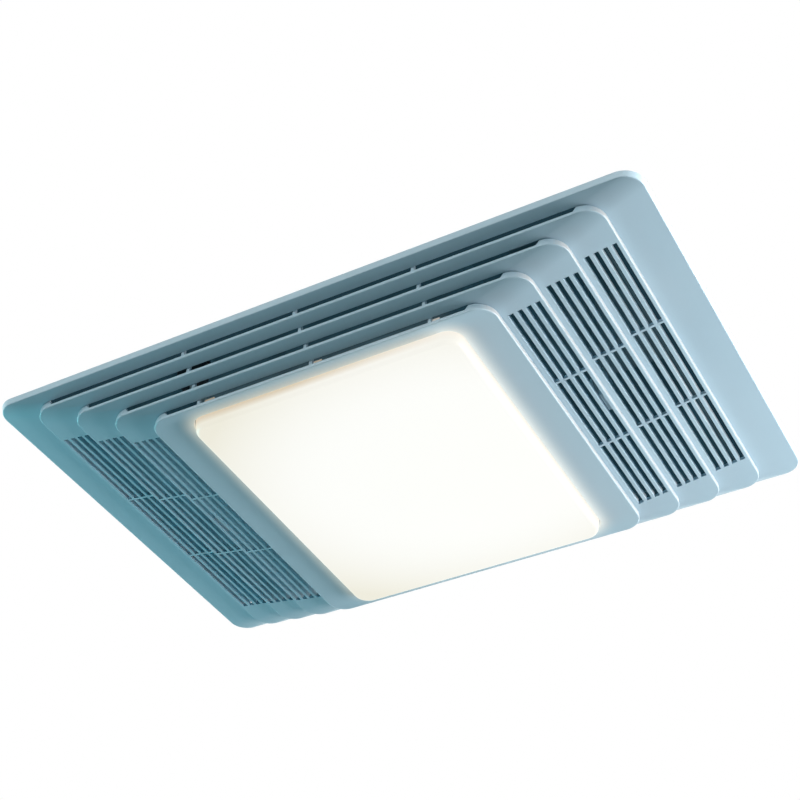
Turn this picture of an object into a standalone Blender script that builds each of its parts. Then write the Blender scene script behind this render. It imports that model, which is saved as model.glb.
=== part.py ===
"""Bathroom ceiling fan with a light: a stepped grille with a lit lens, a lamp pan above it,
and a blower in a steel housing that stands in the ceiling.

Metres, +Z up. The origin is the centre of the ceiling opening: the back of the grille lies
in the ceiling plane z = 0, the room is below it and the housing above it.
"""
import math

import bmesh
import bpy
from mathutils import Matrix, Vector

# Clearances and general values
GAP = 0.0003                  # between pieces that touch on the real object
RUN = 0.0015                  # between a moving piece and its neighbour
OVERRUN = 0.004               # by which a cutter passes the face it cuts
WELD = 0.00001                # merge distance for caps
TURN_SIDES = 24               # sides of turned pieces
SMALL_SIDES = 10              # sides of screws and pins
SHAFT_SIDES = 20              # sides of the motor's shaft and bearings
DUCT_SIDES = 32               # sides of the duct collar
CORNER_STEPS = 4              # facets of a rounded corner
SHARP_ANGLE = math.radians(35)  # between facets that aren't shaded as one

# Grille: four terraces that step down from the flange to a flat plateau
GRILLE_LENGTH = 0.440
GRILLE_WIDTH = 0.293
GRILLE_WALL = 0.002
RIM_HEIGHT = 0.0042
RIM_DRAFT = 0.001
CORNER_RADIUS = 0.0125
FLANGE_LENGTH_SHARE = 0.05773  # from the rim to the first riser, of the grille's length
FLANGE_WIDTH_STEP = 0.0069    # the same along Y
STEP_LENGTH_SHARE = 0.05818   # from riser to riser, of the grille's length
STEP_WIDTH = 0.0071           # the same along Y
FACE_FALL = 0.0022            # how far each face falls towards the next riser
RISER_HEIGHT = 0.0053
LIP_HEIGHT = 0.0025           # solid strip of a riser below its slit
TERRACES = 4
SLIT_SEGMENTS = 4
SLIT_RIB = 0.0020
SLIT_RIB_PITCH_SHARE = 0.768  # of the half length of the innermost slits
SLIT_END_SETBACK = 0.0015     # from the corner arc to the end of the slit
SLOTS_PER_FACE = 4
SLOT_WIDTH_SHARE = 0.1367     # of the way from riser to riser
SLOT_INNER_SHARE = 0.1211     # from the next riser to the first slot
SLOT_OUTER_SHARE = 0.0898     # from the last slot to the lip
SLOT_END_MARGIN = 0.0306      # from the lip's long side to the end of the slots
SLOT_END_STEP = 0.0029        # by which that margin shrinks from face to face
SLOT_SEGMENTS = 3
SLOT_RIB = 0.0016
COLLAR_HEIGHT = 0.0050        # turned-up edge round the lens opening

# Lens: a frosted tray with six snap tabs
LENS_SIDE_SHARE = 0.05727     # plateau beside the lens along X, of the grille's length
LENS_END_BAND = 0.0090        # plateau beside the lens, along Y
LENS_CORNER = 0.0100
LENS_DEPTH = 0.0067           # below the plateau
LENS_WALL = 0.0020
LENS_DRAFT = 0.0008
LENS_EDGE_ROUND = 0.0022
LENS_RISE = 0.0040            # rim above the outside of the plateau
TAB_WIDTH = 0.0065
TAB_HEIGHT = 0.0110
TAB_PLAY = 0.0004
TAB_OFFSET = 0.0020           # from the slit rib to the middle of the tab
TAB_WALL = 0.0012

# Housing: steel box, open at the bottom
GRILLE_LENGTH_LAP = 0.0390    # of the grille past each end wall of the housing
GRILLE_WIDTH_LAP = 0.0195     # of the grille past its long walls
CAN_HEIGHT = 0.194
SHEET = 0.0010

# Mounting brackets across the end walls of the housing
EAR_SHARE = 0.748             # height, of the room below the flange of the duct collar
EAR_RAISE = 0.006
EAR_REACH = 0.024
EAR_SHEET = 0.0012
NAIL_RADIUS = 0.0022
NAIL_SHARES = (0.25, 0.75)    # of the height of the ear

# Grille springs and their brackets
WIRE_RADIUS = 0.0012
POST_RADIUS = 0.004
POST_LENGTH = 0.007
POST_PLATE = 0.0028
POST_PLATE_WIDTH = 0.016
POST_DROP = 0.009             # of the spring post below the ceiling plane
SPRING_TRAVEL = 0.058
HOOK_LENGTH = 0.005
HOOK_PLAY = 0.004
BEND_STEPS = 8                # facets of the bend under the spring post
BRACKET_RAISE = 0.008
BRACKET_HEIGHT = 0.022
BRACKET_WIDTH = 0.030
BRACKET_OVERHANG = 0.006

# Lamp pan, bridge, sockets and lamps
PAN_TOP_SHARE = 0.2577        # of the height of the housing
PAN_CLEARANCE = 0.0015
PAN_RAISE = 0.0030            # bottom edge of the pan above the plateau
PAN_CORNER = 0.007
PAN_CORNER_STEPS = 3
BRIDGE_MARGIN = 0.024         # from the lamps' axes to the ends of the bridge
BRIDGE_DROP = 0.020
PAN_SCREW_SHARE = 0.30        # of the length of the bridge
BUSHING_NECK = 0.0048
BUSHING_RADIUS = 0.0070
BUSHING_LIP = 0.0015
SOCKET_RADIUS = 0.0185
SOCKET_LENGTH = 0.036
SOCKET_FLOOR = 0.008
BASE_RADIUS = 0.0130
BASE_LENGTH = 0.0265
BASE_TAPER = 0.0050
CONTACT_RADIUS = 0.0055
SOCKET_SCREW_DEPTH = 0.0050
BULB_SHARE = 0.7068           # radius, of the room from the lamp's axis
BULB_LENGTH = 0.078
BULB_SWEEP = math.radians(118)  # of the round part, from the crown
BULB_STEPS = 6                # facets of the round part
NECK_RADIUS = 0.0140
NECK_SHARES = (0.35, 0.7, 1.0)  # of the way from the globe to the base
LAMP_SIDES = 16
LAMP_PLACE_SHARE = 0.47       # of the half length of the pan
LAMP_DROP = 0.0420            # of the lamps' axis below the pan's top

# Blower; its shares are of the room from the middle of the housing to its nearest neighbour
LEAD_ROOM = 0.013             # between the motor plate and the wiring cover
BLOWER_OFFSET_SHARES = (-0.2, -0.12)
PLATE_HALF_SHARES = (0.8, 0.76)
WHEEL_SHARE = 0.52            # radius of the wheel
SCROLL_GROWTH_SHARE = 0.256
WHEEL_HEIGHT_SHARE = 0.2474   # of the height of the housing
WHEEL_BAND = 0.009            # radial depth of the blades
WHEEL_PLATE = 0.002
WHEEL_RING = 0.003
BLADES = 32
BLADE_GAP_SHARE = 0.63        # of the pitch of the blades
BLADE_SLANT = math.radians(30)
SCROLL_CLEARANCE = 0.005
SCROLL_SHEET = 0.0015
TONGUE_ANGLE = math.radians(25)
SCROLL_STEPS = 36
SCROLL_SCREW_ANGLES = [math.radians(angle) for angle in (150, 270, 20)]
WHEEL_TOP_GAP = 0.0055
WHEEL_BOTTOM_GAP = 0.0055
INLET_WALL = 0.0032
INLET_LIP = 0.006
INLET_RISE = 0.005
SHAFT_HOLE = 0.018
HUB_RADIUS = 0.0080
HUB_FLANGE = 0.0140
HUB_FLANGE_SHEET = 0.0020
HUB_LENGTH = 0.0160

# Motor
MOTOR_PLATE = 0.0015
STUD_INSET = 0.010
STUD_RADIUS = 0.003
STUD_SHOULDER = 0.005
NUT_RADIUS = 0.0065
NUT_HEIGHT = 0.0045
NUT_SIDES = 6
HEADROOM_SHARE = 0.0541       # above the motor, of the height of the housing
BEARING_PLATE = 0.006
BEARING_PLATE_LENGTH = 0.056
BEARING_PLATE_WIDTH = 0.016
GROMMET_HEIGHT = 0.004
GROMMET_RADIUS = 0.006
STATOR_LENGTH = 0.056
STATOR_HEIGHT_SHARE = 0.1134  # of the height of the housing
STATOR_BACK = 0.019           # from the shaft to the back of the stack
STATOR_FRONT = 0.043          # from the shaft to the far face of the coil leg
COIL_LEG = 0.010
STATOR_WINDOW = 0.016
WINDOW_HALF_LENGTH = 0.018
ROTOR_RADIUS = 0.0128
ROTOR_PLAY = 0.0008
ROTOR_INSET = 0.001           # from each face of the stator
COIL_WALL = 0.0065
COIL_HALF_LENGTH = 0.0165
SHAFT_RADIUS = 0.0025
BEARING_RADIUS = 0.0048
MOTOR_SCREW_PLACE = 0.022

# Duct collar and damper
DUCT_RADIUS = 0.050
DUCT_WALL = 0.0010
DUCT_LENGTH = 0.036
DUCT_FLANGE = 0.008
DUCT_FLANGE_SHEET = 0.0015
DAMPER_SHEET = 0.0012
DAMPER_SEAT = 0.0006          # between the closed flap and the wall of the housing
DAMPER_OVERLAP = 0.0020
DAMPER_PIN_RADIUS = 0.0015
DAMPER_BARREL = 0.0028
DAMPER_PIN_SHARE = 0.68       # height above the duct's axis, of its radius
OUTLET_SHARES = (0.634, 0.515)  # half sizes of the opening in the wall, of the duct's radius

# Wiring
WIRING_DEPTH = 0.042
WIRING_HALF_WIDTH = 0.050
WIRING_HEIGHT_SHARE = 0.3505  # of the height of the housing
WIRING_TOP_SHARE = 0.0979     # from the top of the housing, of its height
WIRING_FLANGE = 0.008
GROUND_PLACE_SHARE = 0.6      # of the half width of the wiring cover
RECEPTACLE = Vector((0.022, 0.014, 0.016))
RECEPTACLE_PLACE = 0.025
RECEPTACLE_LIP = 0.0015
PLUG_HEIGHT = 0.017
BLADE = Vector((0.0014, 0.0050, 0.009))
BLADE_PLACE = 0.0055
LEAD_RADIUS = 0.0022
LEAD_STEPS = 3                # points between two points of a lead's route
GLAND_RADIUS = 0.0105
GLAND_BORE = 0.0070
GLAND_FLANGE = 0.0140
GLAND_FLANGE_LENGTH = 0.004
GLAND_NECK = 0.006
GLAND_BARREL = 0.010
LOCKNUT_RADIUS = 0.0145
LOCKNUT_HEIGHT = 0.0030

# Screws
SCREW_RADIUS = 0.0020
HEAD_RADIUS = 0.0040
HEAD_HEIGHT = 0.0018
HEAD_CROWN_SHARE = 0.7        # flat top, of the radius of the head
SCREW_REACH = 0.0030          # by which a screw passes the last sheet that it holds

# Derived: the grille's levels, as half lengths and heights
GRILLE_HALF = Vector((GRILLE_LENGTH / 2, GRILLE_WIDTH / 2))
FLANGE_EDGE = GRILLE_HALF - Vector((RIM_DRAFT, RIM_DRAFT))
FIRST_LIP = FLANGE_EDGE - Vector((FLANGE_LENGTH_SHARE * GRILLE_LENGTH, FLANGE_WIDTH_STEP))
STEP = Vector((STEP_LENGTH_SHARE * GRILLE_LENGTH, STEP_WIDTH))
SLOT_WIDTH = SLOT_WIDTH_SHARE * STEP.x
LIPS = [FIRST_LIP - STEP * k for k in range(TERRACES)]
RISER_TOPS = [-RIM_HEIGHT - FACE_FALL - (RISER_HEIGHT + FACE_FALL) * k for k in range(TERRACES)]
PLATEAU = RISER_TOPS[-1] - RISER_HEIGHT
LENS_HALF = LIPS[-1] - Vector((LENS_SIDE_SHARE * GRILLE_LENGTH, LENS_END_BAND))
OPENING_HALF = LENS_HALF + Vector((TAB_PLAY, TAB_PLAY))

# Derived: housing, springs and pan
CAN_HALF = GRILLE_HALF - Vector((GRILLE_LENGTH_LAP, GRILLE_WIDTH_LAP))
CAN_INNER = CAN_HALF - Vector((SHEET, SHEET))
CAN_CEILING = CAN_HEIGHT - SHEET
SPRING_PLANE = LIPS[2].x - GRILLE_WALL - POST_PLATE - POST_LENGTH / 2
SPRING_HALF = POST_RADIUS + GAP + WIRE_RADIUS
BRACKET_TOP = BRACKET_RAISE + SHEET
SPRING_TOP = BRACKET_TOP + SPRING_TRAVEL + HOOK_PLAY + WIRE_RADIUS
PAN_HALF = LENS_HALF - Vector((1, 1)) * (LENS_WALL + LENS_DRAFT + PAN_CLEARANCE)
PAN_BOTTOM = PLATEAU + PAN_RAISE
PAN_TOP = PAN_TOP_SHARE * CAN_HEIGHT
LAMP_AXIS = PAN_TOP - LAMP_DROP
LAMP_PLACE = LAMP_PLACE_SHARE * PAN_HALF.x
BULB_RADIUS = BULB_SHARE * min(LAMP_PLACE, LAMP_DROP)
BRIDGE_LENGTH = 2 * (LAMP_PLACE + BRIDGE_MARGIN)
PAN_SCREW_PLACE = PAN_SCREW_SHARE * BRIDGE_LENGTH
BRIDGE_HOLE_Z = PAN_TOP + GAP - BRIDGE_DROP / 2

# Derived: blower and motor, stacked down from the top of the housing
BLOWER_ROOM = min(CAN_INNER.x - WIRING_DEPTH - LEAD_ROOM, CAN_INNER.y)
AXIS = Vector(BLOWER_OFFSET_SHARES) * BLOWER_ROOM
PLATE_HALF = Vector(PLATE_HALF_SHARES) * BLOWER_ROOM
WHEEL_RADIUS = WHEEL_SHARE * BLOWER_ROOM
UPPER_BEARING_TOP = CAN_CEILING - HEADROOM_SHARE * CAN_HEIGHT - HEAD_HEIGHT
UPPER_BEARING = UPPER_BEARING_TOP - BEARING_PLATE
STATOR_TOP = UPPER_BEARING - GAP
STATOR_HEIGHT = STATOR_HEIGHT_SHARE * CAN_HEIGHT
STATOR_BOTTOM = STATOR_TOP - STATOR_HEIGHT
LOWER_BEARING_TOP = STATOR_BOTTOM - GAP
LOWER_BEARING = LOWER_BEARING_TOP - BEARING_PLATE
MOTOR_PLATE_TOP = LOWER_BEARING - 2 * GAP - GROMMET_HEIGHT
MOTOR_PLATE_BOTTOM = MOTOR_PLATE_TOP - MOTOR_PLATE
SCROLL_TOP = MOTOR_PLATE_BOTTOM - GAP
WHEEL_TOP = SCROLL_TOP - SCROLL_SHEET - WHEEL_TOP_GAP
WHEEL_BOTTOM = WHEEL_TOP - WHEEL_HEIGHT_SHARE * CAN_HEIGHT
SCROLL_BOTTOM = WHEEL_BOTTOM - WHEEL_BOTTOM_GAP
INLET_TOP = SCROLL_BOTTOM - GAP
INLET_BOTTOM = INLET_TOP - SCROLL_SHEET
EYE_RADIUS = WHEEL_RADIUS - WHEEL_BAND
INLET_RADIUS = EYE_RADIUS - RUN
SCROLL_START = WHEEL_RADIUS + SCROLL_CLEARANCE
SCROLL_GROWTH = SCROLL_GROWTH_SHARE * BLOWER_ROOM
SCROLL_END = SCROLL_START + SCROLL_GROWTH
OUTLET_LOW = SCROLL_START * math.sin(TONGUE_ANGLE)
OUTLET_Y = AXIS.y + (OUTLET_LOW + SCROLL_END) / 2
OUTLET_Z = (SCROLL_TOP + SCROLL_BOTTOM) / 2
OUTLET_HALF = Vector(OUTLET_SHARES) * DUCT_RADIUS
DAMPER_X = CAN_HALF.x + DAMPER_SEAT + DAMPER_SHEET / 2 + DAMPER_BARREL
DAMPER_PIN_RISE = DAMPER_PIN_SHARE * DUCT_RADIUS
PIN_Z = OUTLET_Z + DAMPER_PIN_RISE
EAR_HEIGHT = EAR_SHARE * (OUTLET_Z - DUCT_RADIUS - DUCT_FLANGE - EAR_RAISE)

# Derived: wiring box against the end wall at -X
WALL_X = -CAN_INNER.x
WIRING_TOP = CAN_CEILING - WIRING_TOP_SHARE * CAN_HEIGHT
WIRING_HEIGHT = WIRING_HEIGHT_SHARE * CAN_HEIGHT
WIRING_BOTTOM = WIRING_TOP - WIRING_HEIGHT
WIRING_MIDDLE = (WIRING_TOP + WIRING_BOTTOM) / 2
WIRING_FACE = WALL_X + WIRING_DEPTH
RECEPTACLE_X = WALL_X + WIRING_DEPTH / 2
RECEPTACLE_BOTTOM = WIRING_BOTTOM - RECEPTACLE_LIP
PLUG_TOP = RECEPTACLE_BOTTOM - GAP
PLUG_BOTTOM = PLUG_TOP - PLUG_HEIGHT

for old in list(bpy.data.objects):
    bpy.data.objects.remove(old, do_unlink=True)
PARTS = bpy.data.collections.new("bathroom_fan_light")
CUTTERS = bpy.data.collections.new("cutters")
bpy.context.scene.collection.children.link(PARTS)
bpy.context.scene.collection.children.link(CUTTERS)


def finish(name, colour, roughness, metallic=0.0):
    """One Principled material."""
    made = bpy.data.materials.new(name)
    made.use_nodes = True
    shader = made.node_tree.nodes["Principled BSDF"]
    shader.inputs["Base Color"].default_value = (*colour, 1.0)
    shader.inputs["Roughness"].default_value = roughness
    shader.inputs["Metallic"].default_value = metallic
    return made


PLASTIC = finish("pale_blue_plastic", (0.50, 0.64, 0.74), 0.38)
FROSTED = finish("frosted_lens", (0.95, 0.93, 0.86), 0.45)
STEEL = finish("galvanised_steel", (0.62, 0.64, 0.66), 0.42, 1.0)
WHITE_PAINT = finish("white_reflector_paint", (0.90, 0.90, 0.88), 0.35)
WIRE = finish("spring_wire", (0.55, 0.55, 0.56), 0.30, 1.0)
BLACK_PLASTIC = finish("black_plastic", (0.035, 0.035, 0.04), 0.45)
WHEEL_PLASTIC = finish("wheel_plastic", (0.12, 0.13, 0.14), 0.50)
PORCELAIN = finish("socket_porcelain", (0.86, 0.84, 0.80), 0.30)
BRASS = finish("lamp_base_brass", (0.72, 0.58, 0.30), 0.30, 1.0)
GLASS = finish("opal_bulb", (0.96, 0.95, 0.92), 0.25)
COPPER = finish("winding", (0.55, 0.25, 0.12), 0.40, 0.6)
IRON = finish("stator_iron", (0.30, 0.30, 0.32), 0.45, 0.9)
RUBBER = finish("rubber", (0.03, 0.03, 0.03), 0.75)
LEAD = finish("lead_sheath", (0.78, 0.78, 0.76), 0.50)
GREEN = finish("green_screw", (0.08, 0.36, 0.14), 0.40, 0.4)


def place(name, mesh, material, location=(0, 0, 0), rotation=(0, 0, 0)):
    """Put a mesh in the object's collection as a named piece."""
    mesh.name = name
    mesh.materials.clear()
    mesh.materials.append(material)
    piece = bpy.data.objects.new(name, mesh)
    PARTS.objects.link(piece)
    piece.location = location
    piece.rotation_euler = rotation
    return piece


def from_bmesh(work):
    mesh = bpy.data.meshes.new("work")
    work.to_mesh(mesh)
    work.free()
    return mesh


def evaluated_mesh(piece):
    """The mesh of an object with its modifiers; the object and its data are removed."""
    bpy.context.view_layer.update()
    depsgraph = bpy.context.evaluated_depsgraph_get()
    mesh = bpy.data.meshes.new_from_object(piece.evaluated_get(depsgraph))
    bpy.data.objects.remove(piece, do_unlink=True)
    return mesh


def boxes_mesh(boxes):
    """Separate boxes, each given by its low and high corner, in one mesh."""
    work = bmesh.new()
    for low, high in boxes:
        low, high = Vector(low), Vector(high)
        made = bmesh.ops.create_cube(work, size=1)
        size = high - low
        matrix = Matrix.Translation((low + high) / 2) @ Matrix.Diagonal((*size, 1))
        bmesh.ops.transform(work, matrix=matrix, verts=made["verts"])
    return from_bmesh(work)


def box(name, low, high, material):
    """A box as a piece with its origin in its middle."""
    low, high = Vector(low), Vector(high)
    middle = (low + high) / 2
    return place(name, boxes_mesh([(low - middle, high - middle)]), material, middle)


def cylinder_mesh(radius, low, high, sides=TURN_SIDES):
    """A cylinder on the Z axis between two heights."""
    work = bmesh.new()
    middle = Matrix.Translation((0, 0, (low + high) / 2))
    bmesh.ops.create_cone(work, cap_ends=True, segments=sides, radius1=radius, radius2=radius,
                          depth=high - low, matrix=middle)
    return from_bmesh(work)


def turned_mesh(profile, closed, sides=TURN_SIDES):
    """A profile of (radius, height) points, top to bottom on its outer side, turned about Z."""
    mesh = bpy.data.meshes.new("profile")
    count = len(profile)
    edges = [(k, k + 1) for k in range(count - 1)]
    if closed:
        edges.append((count - 1, 0))
    mesh.from_pydata([(r, 0, z) for r, z in profile], edges, [])
    piece = bpy.data.objects.new("profile", mesh)
    CUTTERS.objects.link(piece)
    screw = piece.modifiers.new("turn", "SCREW")
    screw.steps = sides
    screw.render_steps = sides
    screw.use_merge_vertices = True
    screw.merge_threshold = 0.0001
    made = evaluated_mesh(piece)
    made.shade_smooth()
    made.set_sharp_from_angle(angle=SHARP_ANGLE)
    return made


def ring_profile(inner, outer, low, high):
    return [(inner, high), (outer, high), (outer, low), (inner, low)]


def outline_mesh(points, height):
    """A flat outline, extruded by height above z = 0."""
    curve = bpy.data.curves.new("outline", "CURVE")
    curve.dimensions = "2D"
    curve.fill_mode = "BOTH"
    curve.extrude = height / 2
    curve.render_resolution_u = 0
    spline = curve.splines.new("POLY")
    spline.points.add(len(points) - 1)
    for point, (x, y) in zip(spline.points, points):
        point.co = (x, y, 0, 1)
    spline.use_cyclic_u = True
    piece = bpy.data.objects.new("outline", curve)
    CUTTERS.objects.link(piece)
    made = evaluated_mesh(piece)
    work = bmesh.new()
    work.from_mesh(made)
    bmesh.ops.remove_doubles(work, verts=work.verts, dist=WELD)
    bmesh.ops.translate(work, verts=work.verts, vec=(0, 0, height / 2))
    bmesh.ops.recalc_face_normals(work, faces=work.faces)
    return from_bmesh(work)


def moved(mesh, matrix):
    """A copy of a mesh, transformed."""
    copy = mesh.copy()
    copy.transform(matrix)
    return copy


def joined(meshes):
    """Several meshes as one, with their bodies still separate."""
    work = bmesh.new()
    for mesh in meshes:
        work.from_mesh(mesh)
    return from_bmesh(work)


def boolean(piece, mesh, operation, matrix=None):
    """Cut a mesh from a piece, or join it on; the mesh is in world space unless moved."""
    tool = bpy.data.objects.new(piece.name + "_" + operation.lower(), mesh)
    CUTTERS.objects.link(tool)
    tool.hide_render = True
    tool.display_type = "WIRE"
    if matrix is not None:
        tool.matrix_world = matrix
    step = piece.modifiers.new(operation.lower(), "BOOLEAN")
    step.operation = operation
    step.solver = "EXACT"
    step.object = tool
    return piece


def tube(name, points, radius, material, resolution=2):
    """A wire or lead as a poly spline with a round section and filled caps."""
    curve = bpy.data.curves.new(name, "CURVE")
    curve.dimensions = "3D"
    curve.bevel_depth = radius
    curve.bevel_resolution = resolution
    curve.use_fill_caps = True
    curve.render_resolution_u = 0
    spline = curve.splines.new("POLY")
    spline.points.add(len(points) - 1)
    for point, spot in zip(spline.points, points):
        point.co = (*spot, 1)
    curve.materials.append(material)
    piece = bpy.data.objects.new(name, curve)
    PARTS.objects.link(piece)
    return piece


def rounded_ring(half, radius, height, steps=CORNER_STEPS):
    """Counter-clockwise loop of a rounded rectangle, seen from above."""
    loop = []
    for index, (sx, sy) in enumerate(((1, -1), (1, 1), (-1, 1), (-1, -1))):
        centre = Vector((sx * (half.x - radius), sy * (half.y - radius)))
        for k in range(steps + 1):
            angle = math.radians(90) * (index - 1 + k / steps)
            spot = centre + radius * Vector((math.cos(angle), math.sin(angle)))
            loop.append(Vector((spot.x, spot.y, height)))
    return loop


def square_ring(half, height):
    corners = ((1, -1), (1, 1), (-1, 1), (-1, -1))
    return [Vector((sx * half.x, sy * half.y, height)) for sx, sy in corners]


def skin_mesh(loops, first_cap=False, last_cap=False):
    """Open surface through loops, listed from the top or outside to the bottom or inside."""
    work = bmesh.new()
    rows = [[work.verts.new(spot) for spot in loop] for loop in loops]
    for upper, lower in zip(rows, rows[1:]):
        for j in range(len(upper)):
            k = (j + 1) % len(upper)
            work.faces.new((upper[j], lower[j], lower[k], upper[k]))
    if first_cap:
        work.faces.new(rows[0])
    if last_cap:
        work.faces.new(reversed(rows[-1]))
    return from_bmesh(work)


def thicken(piece, thickness):
    """Give an open surface its wall, on the side away from its normals."""
    step = piece.modifiers.new("wall", "SOLIDIFY")
    step.thickness = thickness
    step.offset = -1
    step.use_even_offset = True
    step.use_quality_normals = True
    return piece


def screw_mesh(shank, head=HEAD_RADIUS, radius=SCREW_RADIUS, head_height=HEAD_HEIGHT):
    """A screw whose head stands on z = 0 and whose shank runs down."""
    crown = head * HEAD_CROWN_SHARE
    profile = [(0, head_height), (crown, head_height), (head, head_height / 2), (head, 0),
               (radius, 0), (radius, -shank), (0, -shank)]
    return turned_mesh(profile, False, SMALL_SIDES)


def fasteners(names, mesh, frames, material):
    """Identical pieces that share a mesh, each placed by a matrix."""
    for name, frame in zip(names, frames):
        place(name, mesh, material).matrix_world = frame


def upright(spots, height):
    """Matrices that set pieces upright at some spots of the plan."""
    return [Matrix.Translation((*spot, height)) for spot in spots]


def pointing(direction, spot):
    """Matrix that turns +Z to a direction and moves the origin to a spot."""
    turn = Vector((0, 0, 1)).rotation_difference(Vector(direction)).to_matrix().to_4x4()
    return Matrix.Translation(spot) @ turn


def bored(piece, radius, spots, direction, depth, sides=SMALL_SIDES):
    """Drill holes through a piece, each depth deep to both sides of its spot."""
    drill = cylinder_mesh(radius, -depth, depth, sides)
    cutters = joined([moved(drill, pointing(direction, spot)) for spot in spots])
    return boolean(piece, cutters, "DIFFERENCE")


# Grille


def slot_boxes():
    """Cutters for the slots in the faces at both short ends."""
    boxes = []
    first = SLOT_INNER_SHARE * STEP.x
    last = (1 - SLOT_OUTER_SHARE) * STEP.x - SLOT_WIDTH
    pitch = (last - first) / (SLOTS_PER_FACE - 1)
    for level in range(TERRACES - 1):
        end = LIPS[0].y - SLOT_END_MARGIN - (STEP_WIDTH - SLOT_END_STEP) * level
        third = 2 * end / SLOT_SEGMENTS
        top = RISER_TOPS[level] - RISER_HEIGHT + GRILLE_WALL + FACE_FALL
        bottom = RISER_TOPS[level + 1] - FACE_FALL
        for index in range(SLOTS_PER_FACE):
            inner = LIPS[level + 1].x + first + pitch * index
            for part in range(SLOT_SEGMENTS):
                low = -end + third * part + (SLOT_RIB / 2 if part else 0)
                high = -end + third * (part + 1)
                high -= SLOT_RIB / 2 if part < SLOT_SEGMENTS - 1 else 0
                outer = inner + SLOT_WIDTH
                boxes.append(((inner, low, bottom), (outer, high, top)))
                boxes.append(((-outer, low, bottom), (-inner, high, top)))
    return boxes


def slit_half(level):
    """Half length of the slits in one riser."""
    return LIPS[level].x - CORNER_RADIUS - SLIT_END_SETBACK


def slit_rib_pitch():
    return SLIT_RIB_PITCH_SHARE * slit_half(TERRACES - 1)


def slit_boxes():
    """Cutters for the slits in the upper part of the risers along both long sides."""
    boxes = []
    rib_pitch = slit_rib_pitch()
    for level in range(TERRACES):
        end = slit_half(level)
        inner_ribs = [rib_pitch * (k + 1 - SLIT_SEGMENTS / 2) for k in range(SLIT_SEGMENTS - 1)]
        stops = [-end - SLIT_RIB / 2] + inner_ribs + [end + SLIT_RIB / 2]
        top = RISER_TOPS[level]
        bottom = top - RISER_HEIGHT + LIP_HEIGHT
        near = LIPS[level].y - GRILLE_WALL - RIM_DRAFT
        far = LIPS[level].y + RIM_DRAFT
        for low, high in zip(stops, stops[1:]):
            x0 = low + SLIT_RIB / 2
            x1 = high - SLIT_RIB / 2
            boxes.append(((x0, near, bottom), (x1, far, top)))
            boxes.append(((x0, -far, bottom), (x1, -near, top)))
    return boxes


def post_mesh(side):
    """Spring post on the back of the third riser: a plate with a peg that points inwards."""
    foot = RISER_TOPS[2] - RISER_HEIGHT + GRILLE_WALL / 2
    outer = LIPS[2].x - GRILLE_WALL / 2
    face = LIPS[2].x - GRILLE_WALL - POST_PLATE
    plate = boxes_mesh([((face, -POST_PLATE_WIDTH / 2, foot),
                         (outer, POST_PLATE_WIDTH / 2, -POST_DROP + POST_RADIUS))])
    peg = cylinder_mesh(POST_RADIUS, 0, POST_LENGTH + POST_PLATE / 2, SMALL_SIDES)
    peg = moved(peg, pointing((-1, 0, 0), (face + POST_PLATE / 2, 0, -POST_DROP)))
    if side > 0:
        return plate, peg
    turn = Matrix.Rotation(math.pi, 4, "Z")
    return moved(plate, turn), moved(peg, turn)


def build_grille():
    loops = [rounded_ring(GRILLE_HALF, CORNER_RADIUS + RIM_DRAFT, 0),
             rounded_ring(FLANGE_EDGE, CORNER_RADIUS, -RIM_HEIGHT)]
    for lip, top in zip(LIPS, RISER_TOPS):
        loops.append(rounded_ring(lip, CORNER_RADIUS, top))
        loops.append(rounded_ring(lip, CORNER_RADIUS, top - RISER_HEIGHT))
    loops.append(rounded_ring(OPENING_HALF, LENS_CORNER + TAB_PLAY, PLATEAU))
    loops.append(rounded_ring(OPENING_HALF, LENS_CORNER + TAB_PLAY, PLATEAU + COLLAR_HEIGHT))
    grille = place("grille", skin_mesh(loops), PLASTIC)
    thicken(grille, GRILLE_WALL)
    above = ((-GRILLE_HALF.x - OVERRUN, -GRILLE_HALF.y - OVERRUN, 0),
             (GRILLE_HALF.x + OVERRUN, GRILLE_HALF.y + OVERRUN, OVERRUN))
    boolean(grille, boxes_mesh(slot_boxes() + slit_boxes() + [above]), "DIFFERENCE")
    for side in (1, -1):
        plate, peg = post_mesh(side)
        boolean(grille, plate, "UNION")
        boolean(grille, peg, "UNION")


def build_lens():
    bottom = PLATEAU - LENS_DEPTH
    drafted = LENS_HALF - Vector((LENS_DRAFT, LENS_DRAFT))
    round_share = 1 - math.sqrt(0.5)
    loops = [rounded_ring(LENS_HALF, LENS_CORNER, PLATEAU + LENS_RISE),
             rounded_ring(drafted, LENS_CORNER, bottom + LENS_EDGE_ROUND)]
    for inset, rise in ((round_share, round_share), (1, 0)):
        half = drafted - Vector((1, 1)) * LENS_EDGE_ROUND * inset
        corner = LENS_CORNER - LENS_EDGE_ROUND * inset
        loops.append(rounded_ring(half, corner, bottom + LENS_EDGE_ROUND * rise))
    lens = place("lens", skin_mesh(loops, last_cap=True), FROSTED)
    thicken(lens, LENS_WALL)
    rib_pitch = slit_rib_pitch()
    tabs = []
    outer = LENS_HALF.y - (LENS_WALL - TAB_WALL) / 2
    low = PLATEAU + LENS_RISE - LENS_WALL / 2
    for index in (-1, 0, 1):
        middle = index * rib_pitch - TAB_OFFSET
        middle = max(-LENS_HALF.x + LENS_CORNER + TAB_WIDTH / 2, middle)
        middle = min(LENS_HALF.x - LENS_CORNER - TAB_WIDTH / 2, middle)
        for side in (-1, 1):
            faces = sorted((side * outer, side * (outer - TAB_WALL)))
            tabs.append(((middle - TAB_WIDTH / 2, faces[0], low),
                         (middle + TAB_WIDTH / 2, faces[1], low + TAB_HEIGHT)))
    boolean(lens, boxes_mesh(tabs), "UNION")


# Grille springs


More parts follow.
